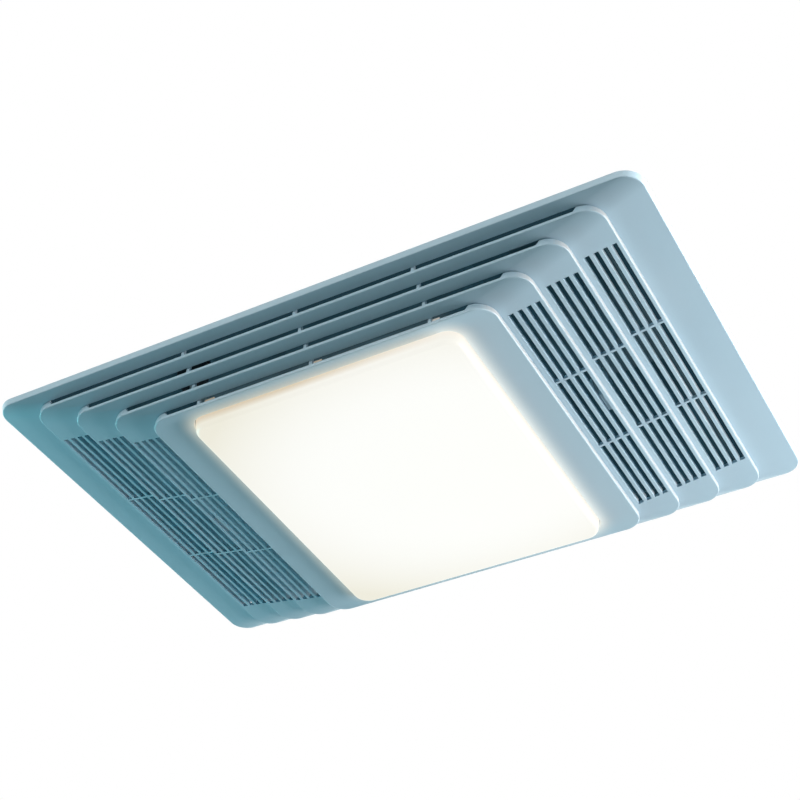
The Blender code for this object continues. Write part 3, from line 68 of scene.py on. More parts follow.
# Shape of the grille's terraces, as the CAD has it
RIM_HEIGHT = 0.0042
RIM_DRAFT = 0.001
CORNER_RADIUS = 0.0125
WALL = 0.002
TERRACES = 4
FIRST_LIP = Vector((0.1936, 0.1386))
LIP_STEP = Vector((0.0256, 0.0071))
FACE_FALL = 0.0022
RISER_HEIGHT = 0.0053
LIPS = [FIRST_LIP - LIP_STEP * level for level in range(TERRACES)]
RISER_TOPS = [-RIM_HEIGHT - FACE_FALL - (RISER_HEIGHT + FACE_FALL) * k for k in range(TERRACES)]
PLATEAU = RISER_TOPS[-1] - RISER_HEIGHT
RISER_DIP = 0.0014            # by which the risers are lower along the two short sides
GROOVE_DEPTH = 0.0007         # of the fine groove between a face and the next riser
GROOVE_HEIGHT = 0.0006
LENS_HALF = LENS_HIGH.xy
LENS_CORNER = 0.010
TAB_PLAY = 0.0004
OPENING = LENS_HALF + Vector((TAB_PLAY, TAB_PLAY))
COLLAR_HEIGHT = 0.005

COLLAR_CENTRE = Vector(((COLLAR_LOW.y + COLLAR_HIGH.y) / 2, (COLLAR_LOW.z + COLLAR_HIGH.z) / 2))
GLAND_AXIS = (GLAND_LOW.z + GLAND_HIGH.z) / 2

SIDES = 64                    # of turned pieces that show
INNER_PAINTED_GLOW = (0.007, 0.024, 0.034)   # painted stray light: a faint glow painted on the dark inside of the housing
RIM_TO_SHEET = 0.0004         # ceiling sheet, above the back of the grille
RIM_LAP = 0.001               # the sheet ends this far inside the grille's edge
GAP_LAP = 0.0006              # the dark sheet of painted shade in the gap ends this far inside the first riser
LIP_REACH = 0.0005            # faces this close to a riser's plane belong to it
END_SHADE_MARK = "end_riser"        # face attribute of the grille that masks the painted shade of the end risers
PEG_HEIGHT = -0.009           # axis of the pegs that the springs hang on
LEAST_FACES = 500             # a grille with fewer faces has lost its slots
HALF_TURN = Matrix.Rotation(math.pi, 4, "Z")
SWAP_Y_Z = Matrix(((1, 0, 0, 0), (0, 0, 1, 0), (0, 1, 0, 0), (0, 0, 0, 1)))

# Slots of the end faces and slits of the long risers
FIRST_ROW_SHORT = 0.0306      # the outermost slots end this far inside the first riser's sides
ROW_GAIN = 0.0029             # by which each further row follows its riser less closely
SLIT_END = 0.0015             # a slit ends this far before the riser's corner
SLOT_CUT = 0.0084             # height of a slot's cutter, through the face and its fins
HAIR = 0.00002                # keeps two surfaces from lying in one plane
OUTER_RIB = 0.768 * (LIPS[-1].x - CORNER_RADIUS - SLIT_END)   # it also places the lens's tabs

# The camera, as solved from the photo
CAMERA_SPOT = (0.39338, -0.71288, -0.66734)
CAMERA_RIGHT = Vector((0.88044, 0.47382, 0.01781))
CAMERA_UP = Vector((0.29635, -0.57922, 0.75939))
SENSOR_WIDTH = 36.0           # millimetres, as the focal length
FOCAL_LENGTH = 72.98


def sides(name):
    return [name + "_left", name + "_right"]


# The record's slots and the CAD nodes that each one covers
SLOTS = {
    "grille_plastic": ["grille"],
    "lens_plastic": ["lens"],
    "galvanised_steel": ["housing_can", "pan_bridge", "blower_scroll", "inlet_plate",
                         "motor_plate", "wiring_cover", "cable_gland", "gland_locknut",
                         "bridge_screw_near", "bridge_screw_far", "wiring_screw",
                         "scroll_screw_1", "scroll_screw_2", "scroll_screw_3", "stud_nut_1",
                         "stud_nut_2", "stud_nut_3", *sides("mounting_bracket"),
                         *sides("spring_bracket"), *sides("pan_screw"),
                         *sides("socket_screw"), *sides("motor_screw")],
    "spring_steel": [*sides("spring"), "motor_shaft", "damper_pin"],
    "reflector_paint": ["light_pan"],
    "black_plastic": ["inlet_ring", "lead_bushing", "duct_collar", "damper_flap",
                      "fan_receptacle", "light_receptacle", "fan_plug", "light_plug"],
    "wheel_plastic": ["blower_wheel"],
    "socket_ceramic": sides("lamp_socket"),
    "opal_glass": sides("lamp"),
    "hub_brass": ["wheel_hub", "bearing_lower", "bearing_upper"],
    "winding_enamel": ["motor_coil"],
    "stator_iron": ["stator", "rotor", "bearing_plate_lower", "bearing_plate_upper"],
    "grommet_rubber": sides("motor_grommet"),
    "lead_sheath": ["fan_lead", "light_lead"],
    "ground_paint": ["ground_screw"],
}


# Settings that a user would change

def length(name, description, default, **more):
    return bpy.props.FloatProperty(name=name, description=description, default=default,
                                   unit="LENGTH", min=0.0, precision=4, **more)


def colour(name, description, default):
    return bpy.props.FloatVectorProperty(name=name, description=description, default=default,
                                         subtype="COLOR", size=3, min=0.0, max=1.0)


class FanGrilleSettings(bpy.types.PropertyGroup):
    """Sizes and colour of the terraced grille."""
    lip_round: length("Lip rounding", "Radius of each terrace's lower edge", 0.0008)
    slot_width: length("Slot width", "Width of the slots in the end faces", 0.0035)
    slots: bpy.props.IntProperty(name="Slots", description="Slots in each end face", default=4,
                                 min=2, max=6)
    slot_margin: length("Slot margin", "From the next riser to the first slot", 0.0031)
    slot_outer_margin: length("Outer margin", "From the last slot to the lip", 0.0023)
    fin_height: length("Fin height", "Height of the fins between the slots, above the face",
                       0.0020)
    slot_rib: length("Slot rib", "Thickness of the ribs across the slots", 0.0016)
    slit_rib: length("Slit rib", "Thickness of the ribs across the slits", 0.0020)
    lip_height: length("Lip height", "Solid strip of a riser below its slit", 0.0021)
    plastic: colour("Plastic", "Colour of the grille", (0.396, 0.530, 0.625))
    plastic_shade: colour("Plastic, deeper", "Slow variation of the colour",
                          (0.371, 0.510, 0.608))


class FanLensSettings(bpy.types.PropertyGroup):
    """Sizes and light of the lens."""
    edge_round: length("Edge rounding", "Radius of the lens's lower edge", 0.0026)
    wall: length("Wall", "Thickness of the lens", 0.0020)
    glow: colour("Glow", "Light of the lens over the lamps", (1.0, 1.0, 0.972))
    glow_edge: colour("Glow at the corner", "Light of the lens away from the lamps",
                      (0.86, 0.83, 0.71))
    side_glow: colour("Glow at the side", "Light of the lens where it meets the grille",
                      (0.72, 0.61, 0.46))
    # painted glow: emission painted into the grille plastic round the lens
    shine: colour("Shine", "Light in the plastic round the lens", (1.0, 0.72, 0.42))
    # painted sheen: emission painted over the grille's plateau
    veil: colour("Veil", "Faint light in the whole face round the lens", (0.80, 0.92, 0.98))
    strength: bpy.props.FloatProperty(name="Strength", description="Light of the lens",
                                      default=0.93, min=0.0, max=4.0)
    spill: bpy.props.FloatProperty(name="Spill", default=1.7, min=0.0, max=8.0,
                                   description="How much more the lens lights what is near it")


class FanHousingSettings(bpy.types.PropertyGroup):
    """Sizes of the housing's pressed and fixed details."""
    bend: length("Bend", "Outer radius of the folded sheet", 0.0025)
    sheet: length("Sheet", "Thickness of the steel", 0.0010)
    groove_depth: length("Groove depth", "Depth of the stiffening groove in the top", 0.0013)
    groove_inset: length("Groove inset", "From the edge of the top to the groove", 0.022)
    rib_height: length("Rib height", "How far the ribs of the long walls stand out", 0.0022)
    ribs: bpy.props.IntProperty(name="Ribs", description="Ribs on each long wall", default=4,
                                min=2, max=8)
    zinc: colour("Zinc", "Colour of the galvanised sheet", (0.60, 0.62, 0.64))


class FanBlowerSettings(bpy.types.PropertyGroup):
    """Sizes of the blower wheel."""
    blades: bpy.props.IntProperty(name="Blades", description="Blades of the wheel", default=44,
                                  min=12, max=64)
    blade_sheet: length("Blade", "Thickness of a blade", 0.0011)
    wheel: colour("Wheel", "Colour of the wheel", (0.055, 0.06, 0.066))


class FanFastenerSettings(bpy.types.PropertyGroup):
    """Sizes of the screws."""
    head_radius: length("Head radius", "Radius of a screw's head", 0.0040)
    head_height: length("Head height", "Height of a screw's head", 0.0018)
    shank_radius: length("Shank radius", "Radius of a screw's shank", 0.0019)


class FanStageSettings(bpy.types.PropertyGroup):
    """Lamps, ceiling, floor and camera."""
    floor_level: bpy.props.FloatProperty(name="Floor", description="Height of the floor",
                                         default=-1.25, unit="LENGTH", precision=3)
    ceiling_light: bpy.props.FloatProperty(name="Ceiling light", min=0.0, default=1.6,
                                           description="Light from the white ceiling")
    key_power: bpy.props.FloatProperty(name="Key lamp", description="Power of the key lamp",
                                       default=21.5, unit="POWER", min=0.0)
    side_power: bpy.props.FloatProperty(name="Side lamp", min=0.0, default=6.6, unit="POWER",
                                        description="Power of the cool lamp at the left")
    top_power: bpy.props.FloatProperty(name="Top lamp", min=0.0, default=26.0, unit="POWER",
                                       description="Power of the lamp above the housing")
    fill: colour("Fill", "Soft light from all round", (0.020, 0.130, 0.104))


# Meshes

def from_bmesh(work, name="work"):
    mesh = bpy.data.meshes.new(name)
    work.to_mesh(mesh)
    work.free()
    return mesh


def clean(mesh, outward=True):
    """Merge doubles and turn every body's faces outwards."""
    work = bmesh.new()
    work.from_mesh(mesh)
    bmesh.ops.remove_doubles(work, verts=work.verts, dist=1e-7)
    if outward:
        bmesh.ops.recalc_face_normals(work, faces=work.faces)
    work.to_mesh(mesh)
    work.free()
    return mesh


def joined(meshes):
    """Several meshes as one, with their bodies still separate."""
    work = bmesh.new()
    for mesh in meshes:
        work.from_mesh(mesh)
    return from_bmesh(work)


def moved(mesh, matrix):
    copy = mesh.copy()
    copy.transform(matrix)
    return copy


def both_ends(mesh):
    """A mesh and its copy at the other end of the fan."""
    return [mesh, moved(mesh, HALF_TURN)]


def box_mesh(low, high):
    return prism_mesh([(low[0], low[1]), (high[0], low[1]), (high[0], high[1]),
                       (low[0], high[1])], low[2], high[2])


def prism_mesh(points, low, high):
    """A convex or plain outline in XY, given its height."""
    work = bmesh.new()
    lower = [work.verts.new((x, y, low)) for x, y in points]
    upper = [work.verts.new((x, y, high)) for x, y in points]
    count = len(points)
    for a in range(count):
        b = (a + 1) % count
        work.faces.new((lower[a], lower[b], upper[b], upper[a]))
    work.faces.new(reversed(lower))
    work.faces.new(upper)
    bmesh.ops.recalc_face_normals(work, faces=work.faces)
    return from_bmesh(work)


def ring(half, radius, height, steps=14, dip=0.0):
    """Loop of a rounded rectangle, seen from above; its two short sides may lie deeper."""
    loop = []
    for index, (sx, sy) in enumerate(((1, -1), (1, 1), (-1, 1), (-1, -1))):
        centre = Vector((sx * (half.x - radius), sy * (half.y - radius)))
        for k in range(steps + 1):
            angle = math.radians(90) * (index - 1 + k / steps)
            loop.append(Vector((centre.x + radius * math.cos(angle),
                                centre.y + radius * math.sin(angle),
                                height - dip * math.cos(angle) ** 2)))
    return loop


def loft(loops, closed=False, caps=(False, False)):
    """Faces between loops of equal length; closed joins the last loop to the first."""
    work = bmesh.new()
    rows = [[work.verts.new(spot) for spot in loop] for loop in loops]
    pairs = list(zip(rows, rows[1:]))
    if closed:
        pairs.append((rows[-1], rows[0]))
    count = len(rows[0])
    for upper, lower in pairs:
        for a in range(count):
            b = (a + 1) % count
            work.faces.new((upper[a], upper[b], lower[b], lower[a]))
    if caps[0]:
        work.faces.new(rows[0])
    if caps[1]:
        work.faces.new(rows[-1])
    bmesh.ops.recalc_face_normals(work, faces=work.faces)
    return from_bmesh(work)


def vessel(outer, inner):
    """A hollow body from the loops of its outside and inside, each from rim to middle."""
    return loft([*reversed(outer), *inner], caps=(True, True))


def quarter(radius, steps):
    """Quarter round from a wall to a face: how far each of its points lies in and off."""
    angles = [math.radians(90) * k / steps for k in range(steps + 1)]
    return [(radius * (1 - math.cos(angle)), radius * (1 - math.sin(angle))) for angle in angles]


def evaluated(piece):
    """The mesh of an object with its modifiers, and without the object."""
    bpy.context.view_layer.update()
    depsgraph = bpy.context.evaluated_depsgraph_get()
    mesh = bpy.data.meshes.new_from_object(piece.evaluated_get(depsgraph))
    bpy.data.objects.remove(piece, do_unlink=True)
    return mesh


def new_object(name, data):
    made = bpy.data.objects.new(name, data)
    bpy.context.scene.collection.objects.link(made)
    return made


def worked(mesh):
    return new_object("work", mesh)


def turned(profile, closed=True, sides=SIDES):
    """A profile of (radius, height) turned about Z with a Screw modifier."""
    mesh = bpy.data.meshes.new("profile")
    count = len(profile)
    edges = [(k, k + 1) for k in range(count - 1)] + ([(count - 1, 0)] if closed else [])
    mesh.from_pydata([(r, 0, z) for r, z in profile], edges, [])
    piece = worked(mesh)
    screw = piece.modifiers.new("turn", "SCREW")
    screw.steps = sides
    screw.render_steps = sides
    screw.use_merge_vertices = True
    screw.merge_threshold = 1e-6
    return clean(evaluated(piece))


def rounded(points, radius, steps=4, closed=True):
    """A polyline in a plane with its corners rounded."""
    spots = [Vector(p) for p in points]
    count = len(spots)
    result = []
    for k, spot in enumerate(spots):
        if not closed and k in (0, count - 1):
            result.append(tuple(spot))
            continue
        before, after = spots[k - 1], spots[(k + 1) % count]
        reach = min(radius, (before - spot).length * 0.45, (after - spot).length * 0.45)
        start = spot + (before - spot).normalized() * reach
        end = spot + (after - spot).normalized() * reach
        for step in range(steps + 1):
            t = step / steps
            result.append(tuple(start * (1 - t) ** 2 + spot * (2 * t * (1 - t)) + end * t ** 2))
    return result


def drill(radius, half, sides):
    """A cylinder round Z, to cut a hole with."""
    return turned([(0.0, -half), (radius, -half), (radius, half), (0.0, half)], False, sides)


def cut(mesh, tool, operation="DIFFERENCE"):
    """Exact Boolean of two meshes in the same space."""
    piece = worked(mesh)
    other = worked(tool)
    step = piece.modifiers.new("cut", "BOOLEAN")
    step.operation = operation
    step.solver = "EXACT"
    step.object = other
    made = evaluated(piece)
    bpy.data.objects.remove(other, do_unlink=True)
    return made


def pointing(direction, spot):
    """Matrix that turns +Z to a direction and moves the origin to a spot."""
    turn = Vector((0, 0, 1)).rotation_difference(Vector(direction)).to_matrix().to_4x4()
    return Matrix.Translation(spot) @ turn


def on_end(x=0.0, y=0.0, z=0.0, side=1):
    """Matrix that stands a plan up: its X along Y, its Y up and its height along X."""
    return Matrix(((0, 0, side, x), (1, 0, 0, y), (0, 1, 0, z), (0, 0, 0, 1)))


def smoothed(mesh, angle=32.0, weighted=True):
    """Shade by angle; flat faces keep their normals where they meet a rounding."""
    mesh.shade_smooth()
    mesh.set_sharp_from_angle(angle=math.radians(angle))
    if not weighted:
        return mesh
    piece = worked(mesh)
    step = piece.modifiers.new("normals", "WEIGHTED_NORMAL")
    step.keep_sharp = True
    step.weight = 100
    return evaluated(piece)


def fit_piece(name, mesh, body, slot, nodes=()):
    """A finished piece: its body, its slot with the finish, and the CAD nodes it stands for."""
    mesh.name = name
    mesh.materials.clear()
    mesh.materials.append(MATERIALS[slot])
    piece = new_object(name, mesh)
    for face in mesh.polygons:
        face.material_index = 0
    if nodes:
        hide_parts(*nodes)
    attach(piece, body)
    return piece


# Geometry Nodes

def new_tree(name, inputs):
    """A geometry tree with one mesh output and named inputs; inputs is {name: (kind, default)}."""
    tree = bpy.data.node_groups.new(name, "GeometryNodeTree")
    tree.interface.new_socket(name="Mesh", in_out="OUTPUT", socket_type="NodeSocketGeometry")
    tree.interface.new_socket(name="Mesh", in_out="INPUT", socket_type="NodeSocketGeometry")
    for label, (kind, default) in inputs.items():
        socket = tree.interface.new_socket(name=label, in_out="INPUT", socket_type=kind)
        if default is not None:
            socket.default_value = default
    return tree, tree.nodes.new("NodeGroupInput"), tree.nodes.new("NodeGroupOutput")


def add(tree, kind, inputs=None, **settings):
    """A node; its inputs are values or sockets to link, by name or number."""
    node = tree.nodes.new(kind)
    for key, value in settings.items():
        setattr(node, key, value)
    for key, value in (inputs or {}).items():
        if isinstance(value, bpy.types.NodeSocket):
            tree.links.new(value, node.inputs[key])
        else:
            node.inputs[key].default_value = value
    return node


def maths(tree, operation, a, b=0.0):
    return add(tree, "ShaderNodeMath", {0: a, 1: b}, operation=operation).outputs[0]


def times(tree, a, b):
    return maths(tree, "MULTIPLY", a, b)


def vector(tree, x=0.0, y=0.0, z=0.0):
    return add(tree, "ShaderNodeCombineXYZ", {0: x, 1: y, 2: z}).outputs[0]


def moved_geometry(tree, geometry, **by):
    """Transform node; by names its inputs: Translation, Rotation or Scale."""
    return add(tree, "GeometryNodeTransform", {"Geometry": geometry, **by}).outputs[0]


def joined_geometry(tree, *parts):
    both = add(tree, "GeometryNodeJoinGeometry")
    for part in parts:
        tree.links.new(part, both.inputs[0])
    return both.outputs[0]


def finish_tree(tree, mesh_socket, material_socket, output):
    """Realize the instances, set the material and end the tree."""
    real = add(tree, "GeometryNodeRealizeInstances", {"Geometry": mesh_socket})
    painted = add(tree, "GeometryNodeSetMaterial", {"Geometry": real.outputs[0],
                                                    "Material": material_socket})
    tree.links.new(painted.outputs[0], output.inputs[0])


def grown(tree, values, base=None):
    """Run a tree on a mesh and return the plain mesh it makes."""
    piece = worked(base or bpy.data.meshes.new("points"))
    step = piece.modifiers.new("grow", "NODES")
    step.node_group = tree
    known = {item.name: item.identifier for item in tree.interface.items_tree
             if item.item_type == "SOCKET" and item.in_out == "INPUT"}
    for label, value in values.items():
        step[known[label]] = value
    return evaluated(piece)


def points_mesh(spots, directions=None):
    """Loose points; each may carry the direction that its instance points in."""
    mesh = bpy.data.meshes.new("points")
    mesh.from_pydata([tuple(spot) for spot in spots], [], [])
    if directions:
        store = mesh.attributes.new("direction", "FLOAT_VECTOR", "POINT")
        for item, direction in zip(store.data, directions):
            item.vector = direction
    return mesh


def slot_tree():
    """Rows of long cutters: the slots of one end face, broken by its cross ribs."""
    tree, source, output = new_tree("slot_rows", {
        "Slots": ("NodeSocketInt", 4), "Pitch": ("NodeSocketFloat", 0.0056),
        "Slot width": ("NodeSocketFloat", 0.0035), "Slot length": ("NodeSocketFloat", 0.2),
        "Parts": ("NodeSocketInt", 3), "Rib": ("NodeSocketFloat", 0.0016),
        "Depth": ("NodeSocketFloat", 0.008), "First slot": ("NodeSocketVector", None),
        "Material": ("NodeSocketMaterial", None)})
    o = source.outputs
    ribs = times(tree, o["Rib"], maths(tree, "SUBTRACT", o["Parts"], 1.0))
    piece = maths(tree, "DIVIDE", maths(tree, "SUBTRACT", o["Slot length"], ribs), o["Parts"])
    pitch = maths(tree, "ADD", piece, o["Rib"])
    start = times(tree, maths(tree, "SUBTRACT", o["Slot length"], piece), -0.5)
    cutter = add(tree, "GeometryNodeMeshCube", {
        "Size": vector(tree, o["Slot width"], piece, o["Depth"])})
    along = add(tree, "GeometryNodeMeshLine", {
        "Count": o["Parts"], "Start Location": vector(tree, y=start),
        "Offset": vector(tree, y=pitch)})
    slot = add(tree, "GeometryNodeInstanceOnPoints", {"Points": along.outputs[0],
                                                      "Instance": cutter.outputs[0]})
    across = add(tree, "GeometryNodeMeshLine", {
        "Count": o["Slots"], "Start Location": o["First slot"],
        "Offset": vector(tree, o["Pitch"])})
    rows = add(tree, "GeometryNodeInstanceOnPoints", {"Points": across.outputs[0],
                                                      "Instance": slot.outputs[0]})
    finish_tree(tree, rows.outputs[0], o["Material"], output)
    return tree


def aligned_instances(tree, points, instance):
    """Instances whose +Z follows each point's stored direction."""
    stored = add(tree, "GeometryNodeInputNamedAttribute", {"Name": "direction"},
                 data_type="FLOAT_VECTOR")
    turn = add(tree, "FunctionNodeAlignRotationToVector", {"Vector": stored.outputs[0]},
               axis="Z")
    return add(tree, "GeometryNodeInstanceOnPoints", {
        "Points": points, "Instance": instance, "Rotation": turn.outputs[0]})


def screw_tree():
    """Cross-recessed screws on the points of a mesh."""
    tree, source, output = new_tree("cross_screws", {
        "Head radius": ("NodeSocketFloat", 0.004), "Head height": ("NodeSocketFloat", 0.0018),
        "Shank radius": ("NodeSocketFloat", 0.0019), "Shank": ("NodeSocketFloat", 0.006),
        "Material": ("NodeSocketMaterial", None)})
    o = source.outputs
    ball = add(tree, "GeometryNodeMeshUVSphere", {"Segments": 24, "Rings": 12, "Radius": 1.0})
    dome = moved_geometry(tree, ball.outputs[0], Scale=vector(
        tree, o["Head radius"], o["Head radius"], o["Head height"]))
    wide = times(tree, o["Head radius"], 3.0)
    below = add(tree, "GeometryNodeMeshCube", {"Size": vector(tree, wide, wide, wide)})
    sunk = moved_geometry(tree, below.outputs[0],
                          Translation=vector(tree, z=times(tree, wide, -0.5)))
    long = times(tree, o["Head radius"], 1.15)
    thin = times(tree, o["Head radius"], 0.22)
    bars = []
    for a, b in ((long, thin), (thin, long)):
        bar = add(tree, "GeometryNodeMeshCube", {
            "Size": vector(tree, a, b, times(tree, o["Head height"], 1.3))})
        bars.append(moved_geometry(tree, bar.outputs[0],
                                   Translation=vector(tree, z=o["Head height"])))
    head = add(tree, "GeometryNodeMeshBoolean", {"Mesh 1": dome}, operation="DIFFERENCE",
               solver="EXACT")
    for cutter in (sunk, *bars):
        tree.links.new(cutter, head.inputs["Mesh 2"])
    shank = add(tree, "GeometryNodeMeshCylinder", {
        "Vertices": 20, "Radius": o["Shank radius"], "Depth": o["Shank"]})
    hung = moved_geometry(tree, shank.outputs[0],
                          Translation=vector(tree, z=times(tree, o["Shank"], -0.499)))
    both = joined_geometry(tree, head.outputs[0], hung)
    placed = aligned_instances(tree, o["Mesh"], both)
    finish_tree(tree, placed.outputs[0], o["Material"], output)
    return tree


def rib_tree():
    """Pressed ribs with round ends on the points of a mesh, raised along each direction."""
    tree, source, output = new_tree("pressed_ribs", {
        "Length": ("NodeSocketFloat", 0.1), "Width": ("NodeSocketFloat", 0.009),
        "Height": ("NodeSocketFloat", 0.0014), "Material": ("NodeSocketMaterial", None)})
    o = source.outputs
    ball = add(tree, "GeometryNodeMeshUVSphere", {"Segments": 24, "Rings": 16, "Radius": 1.0})
    place = add(tree, "GeometryNodeInputPosition")
    parts = add(tree, "ShaderNodeSeparateXYZ", {0: place.outputs[0]})
    half_width = times(tree, o["Width"], 0.5)
    stretch = maths(tree, "SUBTRACT", times(tree, o["Length"], 0.5), half_width)
    end = maths(tree, "SIGN", maths(tree, "ADD", parts.outputs[1], 0.0001))
    along = maths(tree, "ADD", times(tree, parts.outputs[1], half_width),
                  times(tree, end, stretch))
    spot = vector(tree, times(tree, parts.outputs[0], half_width), along,
                  times(tree, parts.outputs[2], o["Height"]))
    shaped = add(tree, "GeometryNodeSetPosition", {"Geometry": ball.outputs[0],
                                                   "Position": spot})
    placed = aligned_instances(tree, o["Mesh"], shaped.outputs[0])
    finish_tree(tree, placed.outputs[0], o["Material"], output)
    return tree


def disc_tree():
    """Knock-out discs with a fine groove round them, and plain dimples, on points."""
    tree, source, output = new_tree("knock_outs", {
        "Radius": ("NodeSocketFloat", 0.011), "Height": ("NodeSocketFloat", 0.0006),
        "Material": ("NodeSocketMaterial", None)})
    o = source.outputs
    outer = add(tree, "GeometryNodeMeshCylinder", {
        "Vertices": 40, "Side Segments": 1, "Radius": o["Radius"], "Depth": o["Height"]})
    inner = add(tree, "GeometryNodeMeshCylinder", {
        "Vertices": 40, "Side Segments": 1, "Radius": times(tree, o["Radius"], 0.86),
        "Depth": times(tree, o["Height"], 1.9)})
    both = joined_geometry(tree, outer.outputs[0], inner.outputs[0])
    placed = aligned_instances(tree, o["Mesh"], both)
    finish_tree(tree, placed.outputs[0], o["Material"], output)
    return tree


def blade_tree():
    """Curved blades round Z: an arc in plan, thickened and raised, repeated on a circle."""
    tree, source, output = new_tree("wheel_blades", {
        "Blades": ("NodeSocketInt", 44), "Middle radius": ("NodeSocketFloat", 0.0605),
        "Depth": ("NodeSocketFloat", 0.0095), "Sheet": ("NodeSocketFloat", 0.0011),
        "Height": ("NodeSocketFloat", 0.045), "Low": ("NodeSocketFloat", 0.085),
        "Centre": ("NodeSocketVector", None), "Material": ("NodeSocketMaterial", None)})
    o = source.outputs
    sheet = add(tree, "GeometryNodeMeshGrid", {
        "Size X": o["Depth"], "Size Y": o["Height"], "Vertices X": 7, "Vertices Y": 3})
    place = add(tree, "GeometryNodeInputPosition")
    parts = add(tree, "ShaderNodeSeparateXYZ", {0: place.outputs[0]})
    share_x = maths(tree, "DIVIDE", parts.outputs[0], o["Depth"])
    bow = times(tree, times(tree, share_x, share_x), times(tree, o["Depth"], 1.1))
    lean = times(tree, parts.outputs[0], 0.35)
    middle = maths(tree, "ADD", o["Low"], times(tree, o["Height"], 0.5))
    curved = add(tree, "GeometryNodeSetPosition", {
        "Geometry": sheet.outputs[0],
        "Position": vector(tree, parts.outputs[0], maths(tree, "ADD", bow, lean),
                           maths(tree, "ADD", parts.outputs[1], middle))})
    thick = add(tree, "GeometryNodeExtrudeMesh", {"Mesh": curved.outputs[0],
                                                  "Offset Scale": o["Sheet"],
                                                  "Individual": False}, mode="FACES")
    back = add(tree, "GeometryNodeFlipFaces", {"Mesh": curved.outputs[0]})
    solid = joined_geometry(tree, thick.outputs[0], back.outputs[0])
    merged = add(tree, "GeometryNodeMergeByDistance", {"Geometry": solid, "Distance": 0.00001})
    circle = add(tree, "GeometryNodeMeshCircle", {"Vertices": o["Blades"],
                                                  "Radius": o["Middle radius"]})
    index = add(tree, "GeometryNodeInputIndex")
    angle = maths(tree, "DIVIDE", times(tree, index.outputs[0], 2 * math.pi), o["Blades"])
    blades = add(tree, "GeometryNodeInstanceOnPoints", {
        "Points": circle.outputs[0], "Instance": merged.outputs[0],
        "Rotation": vector(tree, z=angle)})
    centred = moved_geometry(tree, blades.outputs[0], Translation=o["Centre"])
    finish_tree(tree, centred, o["Material"], output)
    return tree


# Shader groups

FINISH_OUTPUTS = {"Colour": "NodeSocketColor", "Roughness": "NodeSocketFloat",
                  "Height": "NodeSocketFloat"}


def new_group(name, inputs, outputs):
    """A shader group; inputs is {name: default} and outputs {name: kind}."""
    tree = bpy.data.node_groups.new(name, "ShaderNodeTree")
    for label, default in inputs.items():
        kind = "NodeSocketFloat" if isinstance(default, float) else "NodeSocketColor"
        socket = tree.interface.new_socket(name=label, in_out="INPUT", socket_type=kind)
        socket.default_value = default
    for label, kind in outputs.items():
        tree.interface.new_socket(name=label, in_out="OUTPUT", socket_type=kind)
    return tree, tree.nodes.new("NodeGroupInput"), tree.nodes.new("NodeGroupOutput")


def end_group(tree, output, **results):
    for label, socket in results.items():
        tree.links.new(socket, output.inputs[label])
    return tree


def object_coordinates(tree):
    return add(tree, "ShaderNodeTexCoord").outputs["Object"]


def object_axes(tree):
    return add(tree, "ShaderNodeSeparateXYZ", {0: object_coordinates(tree)}).outputs


def scaled(tree, value, by):
    """A vector or colour times a number."""
    node = add(tree, "ShaderNodeVectorMath", {0: value}, operation="SCALE")
    tree.links.new(by, node.inputs["Scale"])
    return node.outputs[0]


def off_middle(tree, value, by):
    """How far a value lies from 0.5, times a number."""
    return times(tree, maths(tree, "SUBTRACT", value, 0.5), by)


def sum_of_squares(tree, a, b):
    return maths(tree, "ADD", times(tree, a, a), times(tree, b, b))


def noise(tree, coordinates, scale, detail=3.0, roughness=0.55):
    return add(tree, "ShaderNodeTexNoise", {"Vector": coordinates, "Scale": scale,
                                            "Detail": detail, "Roughness": roughness})


def mixed(tree, factor, a, b):
    node = add(tree, "ShaderNodeMix", data_type="RGBA", blend_type="MIX")
    for socket, value in zip((node.inputs[0], node.inputs[6], node.inputs[7]), (factor, a, b)):
        if isinstance(value, bpy.types.NodeSocket):
            tree.links.new(value, socket)
        else:
            socket.default_value = value
    return node.outputs[2]


def remap(tree, value, low, high, to_low, to_high):
    return add(tree, "ShaderNodeMapRange", {
        "Value": value, "From Min": low, "From Max": high, "To Min": to_low,
        "To Max": to_high}).outputs[0]


def moulded_group():
    """Moulded plastic: slow colour drift, a fine grain and a roughness that follows them."""
    tree, source, output = new_group("moulded_plastic_grain", {
        "Colour": (0.5, 0.5, 0.5, 1.0), "Deeper colour": (0.4, 0.4, 0.4, 1.0),
        "Grain scale": 900.0, "Base roughness": 0.4, "Roughness range": 0.08},
        FINISH_OUTPUTS)
    o = source.outputs
    spot = object_coordinates(tree)
    drift = noise(tree, spot, 9.0, 2.0)
    grain = noise(tree, spot, o["Grain scale"], 2.0, 0.6)
    cells = add(tree, "ShaderNodeTexVoronoi", {
        "Vector": spot, "Scale": times(tree, o["Grain scale"], 0.8)}, feature="SMOOTH_F1")
    height = maths(tree, "ADD", times(tree, grain.outputs[0], 0.6),
                   times(tree, cells.outputs[0], 0.4))
    tint = mixed(tree, remap(tree, drift.outputs[0], 0.3, 0.7, 0.0, 1.0), o["Colour"],
                 o["Deeper colour"])
    rough = maths(tree, "ADD", o["Base roughness"],
                  off_middle(tree, grain.outputs[0], o["Roughness range"]))
    return end_group(tree, output, Colour=tint, Roughness=rough, Height=height)


